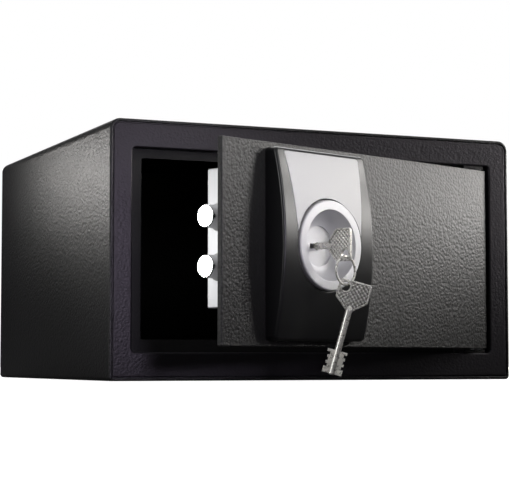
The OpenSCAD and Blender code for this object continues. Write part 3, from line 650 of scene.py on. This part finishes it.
def tint(tree, socket, dark, light):
    """A colour between dark and light as the socket goes from 0 to 1.

    The mix node's colours are its inputs 6 and 7, and its mixed colour is output 2.
    """
    node = add(tree, "ShaderNodeMix", data_type="RGBA")
    node.inputs[6].default_value = (*dark, 1)
    node.inputs[7].default_value = (*light, 1)
    tree.links.new(socket, node.inputs[0])
    return node.outputs[2]


def bumped(tree, shader, socket, strength, depth):
    """Lets a height of 0 to 1 stand up by a depth in millimetres."""
    bump = add(tree, "ShaderNodeBump", Strength=strength, Distance=depth * MM)
    tree.links.new(socket, bump.inputs["Height"])
    tree.links.new(bump.outputs[0], shader.inputs["Normal"])


def coated(name, dark, light, cell, depth, rough, gleam=(1, 1, 1)):
    """Textured powder coat over steel, with cells of one size in millimetres and a gleam of one colour."""
    material, tree, shader = shader_of(name, Specular_IOR_Level=0.5, Specular_Tint=(*gleam, 1))
    grain = add(tree, "ShaderNodeGroup", node_tree=GRAIN)
    grain.inputs["Cells"].default_value = 1 / (cell * MM)
    tree.links.new(tint(tree, grain.outputs["Fleck"], dark, light), shader.inputs["Base Color"])
    tree.links.new(ramp(tree, grain.outputs["Fleck"], *rough), shader.inputs["Roughness"])
    bumped(tree, shader, grain.outputs["Height"], 1.0, depth)
    return material


def metal(name, dark, light, stretch, rough, depth=0.004, metallic=1.0, hollow_shade=None):
    """Bare or plated metal with brush lines that vary its colour, roughness and surface.

    With hollow_shade, the hollows of a pressed pattern take on that colour as painted shade.
    """
    material, tree, shader = shader_of(name, Metallic=metallic)
    brush = add(tree, "ShaderNodeGroup", node_tree=BRUSH)
    brush.inputs["Stretch"].default_value = stretch
    colour = tint(tree, brush.outputs["Line"], dark, light)
    # Painted shade: a darker colour in the hollows, found from the mesh's pointiness.
    if hollow_shade:
        bulge = tree.nodes.new("ShaderNodeNewGeometry").outputs["Pointiness"]
        out_of_shade = add(tree, "ShaderNodeMapRange", From_Min=HOLLOW, From_Max=CREST)
        tree.links.new(bulge, out_of_shade.inputs["Value"])
        unshaded_colour = colour
        colour = tint(tree, out_of_shade.outputs[0], hollow_shade, light)
        tree.links.new(unshaded_colour, colour.node.inputs[7])
    tree.links.new(colour, shader.inputs["Base Color"])
    tree.links.new(ramp(tree, brush.outputs["Line"], *rough), shader.inputs["Roughness"])
    bumped(tree, shader, brush.outputs["Line"], 0.5, depth)
    return material


def moulded(name, dark, light, cell, rough, depth=0.01, metallic=0.0):
    """Moulded plastic with a faint spark-eroded skin: noise with cells of one size in millimetres."""
    material, tree, shader = shader_of(name, Metallic=metallic, Specular_IOR_Level=0.5)
    skin = add(tree, "ShaderNodeTexNoise", Detail=4.0, Scale=1 / (cell * MM))
    place = tree.nodes.new("ShaderNodeTexCoord")
    tree.links.new(place.outputs["Object"], skin.inputs["Vector"])
    tree.links.new(tint(tree, skin.outputs[0], dark, light), shader.inputs["Base Color"])
    tree.links.new(ramp(tree, skin.outputs[0], *rough), shader.inputs["Roughness"])
    bumped(tree, shader, skin.outputs[0], 0.4, depth)
    return material


# Finishes: name, darkest and lightest colour, and the rest by name, with sizes in millimetres
body_paint = coated(
    "body_paint", (0.006, 0.006, 0.007), (0.013, 0.013, 0.014),
    cell=1.7, depth=0.2, rough=(0.34, 0.48),
)
frame_paint = coated(
    "frame_paint", (0.009, 0.0085, 0.0105), (0.015, 0.014, 0.017),
    cell=1.7, depth=0.14, rough=(0.38, 0.5), gleam=(0.97, 0.9, 1),
)
# The lips and hinge brackets have the frame's paint made darker and duller, as painted shade for where they
# lie deep in the opening and in the door's gap, and so its name and slot
painted_shade_frame_paint = coated(
    "frame_paint", (0.004, 0.0035, 0.0045), (0.007, 0.0065, 0.008),
    cell=1.7, depth=0.1, rough=(0.62, 0.72),
)
door_paint = coated(
    "door_paint", (0.008, 0.008, 0.008), (0.017, 0.017, 0.0165),
    cell=1.9, depth=0.2, rough=(0.36, 0.5),
)
mat_felt = coated(
    "mat_felt", (0.03, 0.03, 0.033), (0.06, 0.06, 0.065),
    cell=0.5, depth=0.3, rough=(0.9, 1.0),
)
black_moulding = moulded(
    "black_moulding", (0.005, 0.005, 0.006), (0.009, 0.009, 0.01),
    cell=0.25, rough=(0.27, 0.33),
)
white_moulding = moulded(
    "white_moulding", (0.7, 0.7, 0.69), (0.8, 0.8, 0.79),
    cell=0.4, rough=(0.4, 0.5),
)
insert_silver = moulded(
    "insert_silver", (0.5, 0.5, 0.51), (0.58, 0.58, 0.59),
    cell=0.15, rough=(0.45, 0.6), depth=0.004, metallic=0.3,
)
ring_silver = metal(
    "ring_silver", (0.74, 0.74, 0.76), (0.8, 0.8, 0.82),
    stretch=(300, 300, 300), rough=(0.4, 0.5), depth=0.003, metallic=0.27,
)
zinc_plate = metal(
    "zinc_plate", (0.78, 0.79, 0.8), (0.92, 0.92, 0.93),
    stretch=(700, 700, 40), rough=(0.35, 0.5), metallic=0.55,
)
plain_steel = metal(
    "plain_steel", (0.52, 0.53, 0.55), (0.68, 0.69, 0.7),
    stretch=(400, 400, 400), rough=(0.25, 0.4),
)
bolt_steel = metal(
    "bolt_steel", (0.8, 0.8, 0.82), (0.92, 0.92, 0.93),
    stretch=(60, 60, 900), rough=(0.08, 0.18), depth=0.002,
)
lever_brass = metal(
    "lever_brass", (0.62, 0.44, 0.17), (0.78, 0.6, 0.28),
    stretch=(500, 500, 60), rough=(0.3, 0.45),
)
# The keys' hatch has painted shade in its hollows.
key_nickel = metal(
    "key_nickel", (0.68, 0.67, 0.62), (0.86, 0.85, 0.81),
    stretch=(500, 500, 500), rough=(0.22, 0.34), depth=0.003, metallic=0.6, hollow_shade=(0.06, 0.055, 0.045),
)


# The body and its front frame
def body_loop(inset, y):
    """The body's outline, drawn in by inset, at depth y."""
    outline = soft_rect(
        -HALF_W + inset, inset, HALF_W - inset, BODY_H - inset,
        TOP_R - inset, max(BASE_R - inset, CUT_EDGE),
    )
    return at_y(outline, y)


def opening_loop(out, y):
    """The door opening's outline, grown by out, at depth y."""
    outline = soft_rect(
        -OPEN_X - out, OPEN_Z0 - out, OPEN_X + out, OPEN_Z1 + out, OPEN_R + out, OPEN_R + out
    )
    return at_y(outline, y)


def make_body():
    """The wrap of sheet steel, with its cut edge rounded at the front and two holes in the base.

    Its wall's section, as inset and depth, is carried round the body's outline.
    """
    section = fillet(
        [(0, Y_REAR), (0, Y_FRONT), (WALL, Y_FRONT), (WALL, Y_REAR)],
        [CUT_EDGE, WALL_EDGE_OUT, WALL_EDGE_IN, CUT_EDGE],
        steps=5,
    )
    shell = solid("shell", stitch([body_loop(inset, y) for inset, y in section], closed=True))
    hole = prism(circle(FIX_D / 2), -WALL, 2 * WALL, 0)
    cut_out(shell, *[moved(hole, (x, 0, 0)) for x in (-FIX_PITCH / 2, FIX_PITCH / 2)])
    dress(shell, body_paint, "root", "body_shell")


def make_front_frame():
    """The folded frame round the door: weld flange, face and opening walls in one, and the lips.

    The frame's section, as distance from the body's side and depth, is carried round, with its outer half
    on the body's outline and its inner half on the opening's. The lips lie deep in the opening, and their
    darker, duller paint is painted shade.
    """
    corners = [
        (WALL + SKIN_GAP, Y_FRONT + FLANGE_DEEP), (WALL + SKIN_GAP, Y_FRONT + SEAM_DEEP),
        (WALL + SEAM, Y_FRONT + SEAM_DEEP), (WALL + SEAM, Y_FRONT),
        (SIDE_BAND, Y_FRONT), (SIDE_BAND, Y_FRONT + RETURN_DEEP),
        (SIDE_BAND - FRAME_T, Y_FRONT + RETURN_DEEP), (SIDE_BAND - FRAME_T, Y_FRONT + FRAME_T),
        (WALL + FRAME_T, Y_FRONT + FRAME_T), (WALL + FRAME_T, Y_FRONT + FLANGE_DEEP),
    ]
    radii = [FLANGE_EDGE, 0, 0, SEAM_EDGE, FRAME_FOLD, CUT_EDGE, CUT_EDGE, CUT_EDGE, CUT_EDGE, FLANGE_EDGE]
    loops = [
        body_loop(s, y) if s < SIDE_BAND / 2 else opening_loop(SIDE_BAND - s, y)
        for s, y in fillet(corners, radii, steps=5)
    ]
    half_t = FRAME_T / 2
    lip_corners = [
        (LIP_END, OPEN_Z0 - half_t), (LIP_END, OPEN_Z0 + LIP_BASE),
        (-OPEN_X + LIP_LATCH, OPEN_Z0 + LIP_BASE), (-OPEN_X + LIP_LATCH, OPEN_Z1 - LIP_TOP),
        (LIP_END, OPEN_Z1 - LIP_TOP), (LIP_END, OPEN_Z1 + half_t),
        (-OPEN_X - half_t, OPEN_Z1 + half_t), (-OPEN_X - half_t, OPEN_Z0 - half_t),
    ]
    lip_radii = [CUT_EDGE, LIP_END_R, LIP_R, LIP_R, LIP_END_R, CUT_EDGE, LIP_OUTER_R, LIP_OUTER_R]
    y_lip = Y_FRONT + RETURN_DEEP
    lips = plate(fillet(lip_corners, lip_radii), y_lip - FRAME_T, y_lip, LIP_EDGE)
    dress(solid("front", stitch(loops, closed=True)), frame_paint, "root", "front_frame")
    # The lips' darker paint is painted shade for the recess they lie in.
    dress(solid("lips", lips), painted_shade_frame_paint, "root", "front_frame")


# The door and what shows on its front
def make_door():
    """The door plate, with soft edges, a bevel at the hinge and reliefs for the hinge knuckles.

    Its plan is carried up from its low end to its high end.
    """
    corners = [
        (DOOR_X0, Y_FRONT), (DOOR_X1 - HINGE_BEVEL, Y_FRONT), (DOOR_X1, Y_FRONT + HINGE_BEVEL),
        (DOOR_X1, Y_PLATE), (DOOR_X0, Y_PLATE),
    ]
    plan = fillet(corners, [DOOR_SIDE_EDGE] * len(corners))
    door = solid("door", swung(prism(plan, DOOR_Z0, DOOR_Z1, DOOR_END_EDGE, steps=4)))
    reliefs = [
        swung(moved(prism(circle(KNUCKLE_RELIEF), low, high, 0), (*PIVOT, 0)))
        for low, high in KNUCKLE_SPANS
    ]
    bore = swung(facing_front(prism(circle(BARREL_R, count=64), -2 * DOOR_T, DOOR_T, 0)))
    cut_out(door, bore, *reliefs)
    dress(door, door_paint, "door", "door_plate")


def front_y(z, proud=0.0):
    """Depth of the escutcheon's arched front at height z: a cylinder about a level axis.

    It is the axis's depth less the root of the radius squared less the height from the lock squared.
    """
    return CURVE_Y - np.sqrt((CURVE_R + proud) ** 2 - (z - LOCK_Z) ** 2)


def escutcheon_rect(inset):
    """The escutcheon's outline seen from the front, drawn in by inset."""
    return soft_rect(
        LOCK_X - HOUSING_W / 2 + inset, LOCK_Z - HOUSING_H / 2 + inset,
        LOCK_X + HOUSING_W / 2 - inset, LOCK_Z + HOUSING_H / 2 - inset,
        HOUSING_R - inset, HOUSING_R - inset, straights=24,
    )


def escutcheon_mesh():
    """Skin of the escutcheon: side walls, rounded front edge, arched face, ring pocket and bore.

    The face's loops are blends of the edge's outline and the circle where each spoke from the lock's axis
    meets the pocket, and front_y gives their depth.
    """
    loops = [at_y(escutcheon_rect(0), Y_FRONT)]
    for turn in np.linspace(0, math.pi / 2, 7):
        ring = escutcheon_rect(HOUSING_EDGE * (1 - math.cos(turn)))
        loops.append(at_y(ring, front_y(ring[:, 1]) + HOUSING_EDGE * (1 - math.sin(turn))))
    face = escutcheon_rect(HOUSING_EDGE)
    spokes = unit(face - LOCK_AXIS)
    mouth = LOCK_AXIS + spokes * (POCKET_R + POCKET_EDGE)
    rings = face + (mouth - face) * np.linspace(0, 1, 13)[1:, None, None]
    loops += list(at_y(rings, front_y(rings[..., 1])))
    for radius, sink in ((POCKET_R + POCKET_EDGE_MID, POCKET_EDGE_MID), (POCKET_R, POCKET_EDGE)):
        ring = LOCK_AXIS + spokes * radius
        loops.append(at_y(ring, front_y(ring[:, 1]) + sink))
    for radius, off in ((POCKET_R, POCKET_OFF), (RING_BODY_R, POCKET_OFF), (RING_BODY_R, 0)):
        loops.append(at_y(LOCK_AXIS + spokes * radius, Y_FRONT - off))
    return stitch(loops, closed=True)


def insert_mesh(out, proud, sunk):
    """The bright insert: an arch between the ring's pocket and a frame that widens upwards.

    Its outline is grown by out, and its faces stand proud of the escutcheon and sunk below it. A point on a
    face is a blend, along a spoke from the lock's axis, of the arch and the frame, at the depth of front_y.
    """
    top, tip = INSERT_TOP + out, INSERT_TIP - out
    top_half, tip_half = INSERT_TOP_HALF + out, INSERT_TIP_HALF + out
    corners = [(tip_half, tip), (top_half, top), (-top_half, top), (-tip_half, tip)]
    arch = fillet(corners, [0, INSERT_R, INSERT_R, 0], steps=5) + [LOCK_X, 0]
    outer = divided(arch, INSERT_SPACING)
    inner = LOCK_AXIS + (POCKET_R + INSERT_GAP - out) * unit(outer - LOCK_AXIS)
    face = inner[:, None] + (outer - inner)[:, None] * np.linspace(0, 1, 9)[:, None]
    front = at_y(face, front_y(face[..., 1], proud))
    back = at_y(face, front_y(face[..., 1], -sunk))
    return stitch(np.concatenate([front, back[:, ::-1]], axis=1), caps=True)


def make_escutcheon():
    """The black housing with a seat for the insert, and the insert in it."""
    housing = solid("housing", swung(escutcheon_mesh()))
    cut_out(housing, swung(insert_mesh(SEAT_GAP, CUT_OVER, INSERT_T - INSERT_PROUD)))
    dress(housing, black_moulding, "door", "escutcheon", crease=40)
    insert = solid("insert", swung(insert_mesh(0, INSERT_PROUD, INSERT_T - INSERT_PROUD)))
    dress(insert, insert_silver, "door", "escutcheon_insert", bevel=0.3)


def bowl_arc(count=16):
    """Section of the ring's bowl, as radius and height: an arc from the disc to the mouth.

    The arc's centre stands BOWL_CENTRE out from the ring's face, at the radius that makes it as far from the
    one end as from the other.
    """
    low = DISC_OFF + BOWL_STEP
    centre_h = RING_OFF + BOWL_CENTRE
    squares = MOUTH_R ** 2 - DISC_R ** 2 + BOWL_CENTRE ** 2 - (low - centre_h) ** 2
    centre_r = squares / (2 * (MOUTH_R - DISC_R))
    radius = math.hypot(MOUTH_R - centre_r, BOWL_CENTRE)
    start = math.atan2(low - centre_h, DISC_R - centre_r)
    end = math.atan2(-BOWL_CENTRE, MOUTH_R - centre_r)
    angles = np.linspace(start, end, count)
    return np.column_stack([centre_r + radius * np.cos(angles), centre_h + radius * np.sin(angles)])


def make_lock_ring():
    """The bright ring: flange, body and bowl, turned about the lock's axis, and the keyway disc in it."""
    bowl = bowl_arc()
    corners = [
        (DISC_R, DISC_OFF), *bowl, (RING_R, RING_OFF), (RING_R, POCKET_OFF),
        (RING_BODY_R, POCKET_OFF), (RING_BODY_R, DISC_OFF),
    ]
    bowl_radii = [0] * (len(bowl) - 1) + [MOUTH_EDGE]
    radii = [DISC_EDGE, *bowl_radii, RING_EDGE, RING_FOOT_EDGE, RING_BODY_EDGE, RING_BODY_EDGE]
    ring = facing_front(revolve(fillet(corners, radii), count=128))
    dress(solid("ring", swung(ring)), ring_silver, "door", "lock_ring")
    rounded_copy("keyway_disc", ring_silver, 0.25)


# The keys and their ring
def bow_outline():
    """The bow's six corners, rounded, with its points close together for the hatch."""
    half, neck = BOW_W / 2, BOW_NECK / 2
    corners = [(-neck, 0), (neck, 0), (half, BOW_SLANT), (half, BOW_L), (-half, BOW_L), (-half, BOW_SLANT)]
    outline = fillet(corners, [BOW_NECK_R, BOW_NECK_R, BOW_SLANT_R, BOW_END_R, BOW_END_R, BOW_SLANT_R])
    return divided(np.vstack([outline, outline[:1]]), BOW_SPACING)[:-1]


def bow_mesh():
    """The bow: a rounded edge, a raised rim, a sunk field with a diamond hatch, and the eye's collar.

    Loops run from the outline to the eye's circle, first on the front and then back on the rear. The field's
    loops are blends of the rim's foot and the collar's. The hatch is the sum of two cosines, one of X plus Z
    and one of X less Z.
    """
    outline = bow_outline()
    spokes = unit(outline - EYE)
    half_t = BOW_T / 2
    rim = grow(outline, -RIM_FOOT)
    rim_room = np.linalg.norm(rim - EYE, axis=1, keepdims=True)
    collar = np.where(rim_room < EYE_R + COLLAR_ROOM, rim, EYE + spokes * (EYE_R + COLLAR_FOOT))
    levels = [
        (grow(outline, -BOW_EDGE * (1 - math.cos(turn))), half_t - BOW_EDGE * (1 - math.sin(turn)))
        for turn in np.linspace(0, math.pi / 2, 4)
    ]
    levels.append((grow(outline, -RIM_TOP), half_t))
    field = rim + (collar - rim) * np.linspace(0, 1, 33)[:, None, None]
    pitch = 2 * math.pi / (HATCH_STEP * math.sqrt(2))
    ribs = RIB_RISE * np.cos(pitch * (field[..., 0] + field[..., 1]))
    cross = CROSS_RISE * np.cos(pitch * (field[..., 0] - field[..., 1]))
    levels += zip(field, half_t - BOW_SINK + ribs + cross)
    levels.append((EYE + spokes * (EYE_R + COLLAR_TOP), half_t))
    levels.append((EYE + spokes * (EYE_R + EYE_EDGE), half_t))
    levels.append((EYE + spokes * EYE_R, half_t - EYE_EDGE))
    front = [at_y(ring, -height) for ring, height in levels]
    rear = [at_y(ring, height) for ring, height in levels]
    return stitch(front + rear[::-1], closed=True)


def bits_outline(tip):
    """Outline of the two rows of bits: steps cut in from BIT_R, between two full ends, from the tip up.

    Each step is LEVER_STEP high, and the left row is cut in by BIT_LEFT_CUT more than the right one.
    """
    cuts = np.array(BIT_CUTS[::-1])
    levels = tip + LEVERS_TOP - LEVER_STEP * np.arange(len(cuts), -1, -1)
    heights = np.array([tip + BITS_LOW, *np.repeat(levels, 2), tip + BITS_HIGH])
    right = np.repeat([BIT_R, *(BIT_R - cuts), BIT_R], 2)
    left = np.repeat([-BIT_R, *(BIT_LEFT_CUT + cuts - BIT_R), -BIT_R], 2)
    return np.column_stack([np.append(right, left[::-1]), np.append(heights, heights[::-1])])


def key_mesh():
    """A whole key with its bow's foot at the origin: bow, stem with a pointed end, and bits.

    The stem is a profile turned about the key's length, and the bits are a flat outline given a thickness.
    """
    tip = Y_FRONT - Y_PLATE - KEY_REACH - BOW_OFF
    profile = [*STEM_ROOT, (STEM_R, tip + STEM_POINT), (STEM_R - STEM_POINT, tip), (0, tip)]
    stem = revolve(profile, count=40, closed=False)
    bits = plate(bits_outline(tip), -BIT_T / 2, BIT_T / 2, BIT_EDGE)
    return joined(bow_mesh(), stem, bits)


def make_keys():
    """The key in the lock with its bow upright, the wire ring, and the spare key hanging from it."""
    key = turned(turned(key_mesh(), "x", 90), "y", -90)
    key = swung(moved(key, (LOCK_X, Y_FRONT - BOW_OFF, LOCK_Z)))
    dress(solid("lock_key", key), key_nickel, "key", "key", crease=30)
    ring_y = Y_FRONT - BOW_OFF - EYE[1]
    ring_z = LOCK_Z + EYE[0] - (EYE_R - WIRE_R - RING_SLACK) - KEYRING_R
    ring = turned(revolve(circle(WIRE_R, count=16) + [KEYRING_R, 0], count=96), "x", 90)
    ring = swung(moved(ring, (LOCK_X, ring_y, ring_z)))
    dress(solid("wire_ring", ring), key_nickel, "key_ring", "key_ring")
    spare = moved(key_mesh(), (-EYE[0], 0, -EYE[1]))
    spare = turned(turned(spare, "y", SPARE_LEAN), "z", -SPARE_TURN)
    spare_z = ring_z - KEYRING_R - (EYE_R - WIRE_R - SPARE_SLACK)
    spare = swung(moved(spare, (LOCK_X, ring_y, spare_z)))
    dress(solid("second_key", spare), key_nickel, "spare_key", "spare_key", crease=30)


# Behind the door
def cover_loop(inset, y):
    """The cover's outline, drawn in by inset, at depth y."""
    half_h = COVER_H / 2 - inset
    corner = COVER_BEND - inset
    outline = soft_rect(
        COVER_X0 + inset, COVER_MID - half_h, COVER_X1 - inset, COVER_MID + half_h, corner, corner
    )
    return at_y(outline, y)


def bolt_places(x):
    """The two bolts' places, at one X."""
    return [(x, BOLT_Y, BOLT_MID + side * BOLT_PITCH / 2) for side in (-1, 1)]


def make_cover():
    """The zinc-plated box over the boltwork, with folded edges and round holes for the bolts.

    One skin runs from the inside of its rear wall, forward to its rim and back over the outside, whose rear
    edge is a quarter turn of radius COVER_BEND.
    """
    loops = [cover_loop(COVER_T, COVER_REAR - COVER_T), cover_loop(COVER_T, Y_PLATE), cover_loop(0, Y_PLATE)]
    for turn in np.linspace(0, math.pi / 2, 6):
        y = COVER_REAR - COVER_BEND * (1 - math.sin(turn))
        loops.append(cover_loop(COVER_BEND * (1 - math.cos(turn)), y))
    cover = solid("bolt_cover", swung(stitch(loops, caps=True)))
    hole = along_bolt(prism(circle(BOLT_R + COVER_T, count=64), -COVER_T, 2 * COVER_T, 0))
    cut_out(cover, *[swung(moved(hole, place)) for place in bolt_places(COVER_X0)])
    dress(cover, zinc_plate, "door", "boltwork_cover")


def make_bolts():
    """Two round bolts, with rounded free ends and stepped down at the carriage: profiles turned about X."""
    shoulder = BOLT_X1 - BOLT_X0
    end = shoulder + TENON_L
    profile = fillet(
        [(0, 0), (BOLT_R, 0), (BOLT_R, shoulder), (TENON_R, shoulder), (TENON_R, end), (0, end)],
        [0, BOLT_EDGE, BOLT_SHOULDER, 0, BOLT_EDGE, 0],
    )
    bolt = along_bolt(revolve(profile, count=72, closed=False))
    pair = [moved(bolt, place) for place in bolt_places(BOLT_X0)]
    dress(solid("round_bolts", swung(joined(*pair))), bolt_steel, "bolts", "bolts")


def make_cover_screws():
    """Domed screws in the cover's corners, each with a cross recess.

    The dome is part of a ball. Its radius is the dome's radius squared plus its height squared, over twice
    the height.
    """
    ball_r = (DOME_R ** 2 + DOME_H ** 2) / (2 * DOME_H)
    turns = np.linspace(0, math.acos((ball_r - DOME_H) / ball_r), 12)
    dome = np.column_stack([ball_r * np.sin(turns), DOME_H - ball_r + ball_r * np.cos(turns)])
    profile = [*dome, (SCREW_R, 0), (SCREW_R, -SCREW_L), (0, -SCREW_L)]
    screw = turned(revolve(profile, count=40, closed=False), "x", -90)
    places = [
        (x, COVER_REAR, z)
        for x in (COVER_X0 + SCREW_IN_X, COVER_X1 - SCREW_IN_X)
        for z in (COVER_MID - COVER_H / 2 + SCREW_IN_Z, COVER_MID + COVER_H / 2 - SCREW_IN_Z)
    ]
    screws = solid("dome_screws", swung(joined(*[moved(screw, place) for place in places])))
    for width, height in ((CROSS_L, CROSS_W), (CROSS_W, CROSS_L)):
        bar = np.array([[-1, -1], [1, -1], [1, 1], [-1, 1]]) * [width / 2, height / 2]
        recess = plate(bar, DOME_H - CROSS_DEEP, DOME_H + CUT_OVER, 0)
        cut_out(screws, swung(joined(*[moved(recess, place) for place in places])))
    dress(screws, plain_steel, "door", "cover_screws", crease=30)


make_body()
make_front_frame()
make_door()
make_escutcheon()
make_lock_ring()
make_keys()
make_cover()
make_bolts()
make_cover_screws()

# What is shown as its solid, with the finish and the width of its rounded edges
ROUNDED = (
    ("rear_panel", body_paint, 0.3),
    # The hinge brackets' darker paint is painted shade for the door's gap.
    ("hinge_brackets", painted_shade_frame_paint, 0.3),
    ("hinge_washers", zinc_plate, 0.15),
    ("floor_mat", mat_felt, 0.6),
    ("hinge_straps", zinc_plate, 0.4),
    ("hinge_pins", plain_steel, 0.3),
    ("escutcheon_screws", plain_steel, 0.3),
    ("cover_posts", plain_steel, 0.2),
    ("bolt_bushes", white_moulding, 0.2),
    ("lock_case", zinc_plate, 0.25),
    ("lock_case_cap", zinc_plate, 0.25),
    ("lever_guides", plain_steel, 0.2),
    ("lever_springs", plain_steel, 0.05),
    ("case_screws", plain_steel, 0.3),
    ("cap_screws", plain_steel, 0.25),
    ("guide_post", plain_steel, 0.3),
    ("bolt_carriage", zinc_plate, 0.25),
    ("bolt_nuts", plain_steel, 0.3),
    ("drive_cam", lever_brass, 0.2),
    ("levers_up", lever_brass, 0.12),
    ("levers_down", lever_brass, 0.12),
)
for node, material, width in ROUNDED:
    rounded_copy(node, material, width)


# Camera, floor and light
def make_camera():
    """The photograph's view: a long lens near the floor, to the left of the safe."""
    lens = bpy.data.cameras.new("Camera")
    lens.lens = CAMERA_LENS
    lens.sensor_fit = "HORIZONTAL"
    lens.sensor_width = 36
    lens.clip_start = 0.05
    lens.clip_end = 50
    camera = bpy.data.objects.new("Camera", lens)
    camera.location = np.array(CAMERA_PLACE) * MM
    camera.rotation_euler = (math.radians(90 + CAMERA_PITCH), 0, -math.radians(CAMERA_YAW))
    bpy.context.scene.collection.objects.link(camera)
    bpy.context.scene.camera = camera


def make_floor():
    """A pale floor that throws little light back up, and that fades into the white further away."""
    mesh = bpy.data.meshes.new("Floor")
    corners = np.array([[-1, -1, 0], [1, -1, 0], [1, 1, 0], [-1, 1, 0]]) * FLOOR_REACH * MM
    mesh.from_pydata(corners.tolist(), [], [(0, 1, 2, 3)])
    floor = bpy.data.objects.new("Floor", mesh)
    floor.location.z = -FLOOR_DROP * MM
    bpy.context.scene.collection.objects.link(floor)
    material = bpy.data.materials.new("floor_white")
    material.use_nodes = True
    tree = material.node_tree
    tree.nodes.clear()
    output = tree.nodes.new("ShaderNodeOutputMaterial")
    path = tree.nodes.new("ShaderNodeLightPath")
    low = add(tree, "ShaderNodeBsdfDiffuse", Color=FLOOR_BOUNCE)
    pale = add(tree, "ShaderNodeBsdfDiffuse", Color=FLOOR_SEEN)
    glow = add(tree, "ShaderNodeEmission", Color=(1, 1, 1, 1))
    place = tree.nodes.new("ShaderNodeTexCoord")
    distance = add(tree, "ShaderNodeVectorMath", operation="LENGTH")
    tree.links.new(place.outputs["Object"], distance.inputs[0])
    fade = add(tree, "ShaderNodeMapRange", To_Min=GLOW_NEAR, To_Max=GLOW_FAR)
    fade.inputs["From Min"].default_value = FADE_START * MM
    fade.inputs["From Max"].default_value = FADE_END * MM
    tree.links.new(distance.outputs["Value"], fade.inputs["Value"])
    tree.links.new(fade.outputs[0], glow.inputs["Strength"])
    both = tree.nodes.new("ShaderNodeAddShader")
    tree.links.new(pale.outputs[0], both.inputs[0])
    tree.links.new(glow.outputs[0], both.inputs[1])
    choice = tree.nodes.new("ShaderNodeMixShader")
    tree.links.new(path.outputs["Is Camera Ray"], choice.inputs[0])
    tree.links.new(low.outputs[0], choice.inputs[1])
    tree.links.new(both.outputs[0], choice.inputs[2])
    tree.links.new(choice.outputs[0], output.inputs["Surface"])
    mesh.materials.append(material)


def make_world():
    """White behind the object for the camera, and a dim room for everything else.

    Reflections see the white too, but only high up, where it fades in from the dark round the horizon.
    """
    world = bpy.data.worlds.new("World")
    bpy.context.scene.world = world
    world.use_nodes = True
    tree = world.node_tree
    tree.nodes.clear()
    output = tree.nodes.new("ShaderNodeOutputWorld")
    path = tree.nodes.new("ShaderNodeLightPath")
    way = tree.nodes.new("ShaderNodeTexCoord")
    parts = tree.nodes.new("ShaderNodeSeparateXYZ")
    tree.links.new(way.outputs["Generated"], parts.inputs[0])
    high = add(tree, "ShaderNodeMapRange", From_Min=SKY_LOW, From_Max=SKY_HIGH, To_Max=SKY_SHARE)
    tree.links.new(parts.outputs["Z"], high.inputs["Value"])
    mirrored = maths(tree, "MULTIPLY", path.outputs["Is Glossy Ray"], high.outputs[0])
    direct = maths(tree, "MAXIMUM", path.outputs["Is Camera Ray"], path.outputs["Is Transmission Ray"])
    room = add(tree, "ShaderNodeBackground", Color=ROOM, Strength=1.0)
    white = add(tree, "ShaderNodeBackground", Color=(1, 1, 1, 1), Strength=1.0)
    choice = tree.nodes.new("ShaderNodeMixShader")
    tree.links.new(maths(tree, "MAXIMUM", mirrored, direct), choice.inputs[0])
    tree.links.new(room.outputs[0], choice.inputs[1])
    tree.links.new(white.outputs[0], choice.inputs[2])
    tree.links.new(choice.outputs[0], output.inputs["Surface"])


def look_from(thing, place, target):
    """Puts a lamp at a place and turns it towards a target, both in millimetres."""
    thing.location = np.array(place) * MM
    way = Vector(target) - Vector(place)
    thing.rotation_euler = way.to_track_quat("-Z", "Y").to_euler()
    bpy.context.scene.collection.objects.link(thing)


def make_softbox(name, place, target, width, height, power, colour=(1, 1, 1)):
    """A broad rectangular light, with its size in millimetres and its power in watts."""
    lamp = bpy.data.lights.new(name, "AREA")
    lamp.shape = "RECTANGLE"
    lamp.size = width * MM
    lamp.size_y = height * MM
    lamp.energy = power
    lamp.color = colour
    look_from(bpy.data.objects.new(name, lamp), place, target)


def make_beam(name, place, target, cone, radius, power, colour=(1, 1, 1)):
    """A soft round beam that fades from its middle to its edge, over a cone in degrees."""
    lamp = bpy.data.lights.new(name, "SPOT")
    lamp.spot_size = math.radians(cone)
    lamp.spot_blend = 1.0
    lamp.shadow_soft_size = radius * MM
    lamp.energy = power
    lamp.color = colour
    look_from(bpy.data.objects.new(name, lamp), place, target)


make_camera()
make_floor()
make_world()
make_beam("Door_right", (800, -560, 330), (0, -160, 195), 26, 120, 11.8, WARM)
make_beam("Door_high", (800, -450, 520), (100, -160, 190), 23, 45, 7.7, WARM)
make_beam("Door_low", (960, -423, 340), (110, -150, 195), 22, 90, 5.4, WARM)
make_softbox("Hinge_side", (319, -179, 145), (60, -170, 110), 60, 60, 0.23, WARM)
make_softbox("Front_near", (-37, -307, 153), (-37, -130, 110), 60, 60, 0.035)
make_beam("Band_front", (-30, -800, 150), (-137, -133, 80), 24, 60, 4.9, COOL)
make_softbox("Side_near", (-268, 146, 164), (-145, 0, 100), 60, 60, 0.15, WARM)
make_beam("Cover_beam", (-916, 241, 153), (-95, -170, 88), 12, 60, 5.8)
make_beam("Keys_front", (-350, -1040, 40), (-20, -222, 42), 7, 30, 0.6, WARM)
make_softbox("Left_front", (-1300, -500, 450), (-100, -180, 90), 500, 500, 4.2)
make_softbox("Back", (900, 1900, 900), (0, 0, 80), 1600, 1200, 9)
make_softbox("Rear_right", (1300, 1500, 350), (20, 100, 70), 1100, 700, 30)
make_softbox("Over", (300, 500, 1100), (0, 60, 120), 1000, 1000, 9)
bpy.context.scene.view_settings.view_transform = "Standard"
bpy.context.scene.view_settings.look = "None"
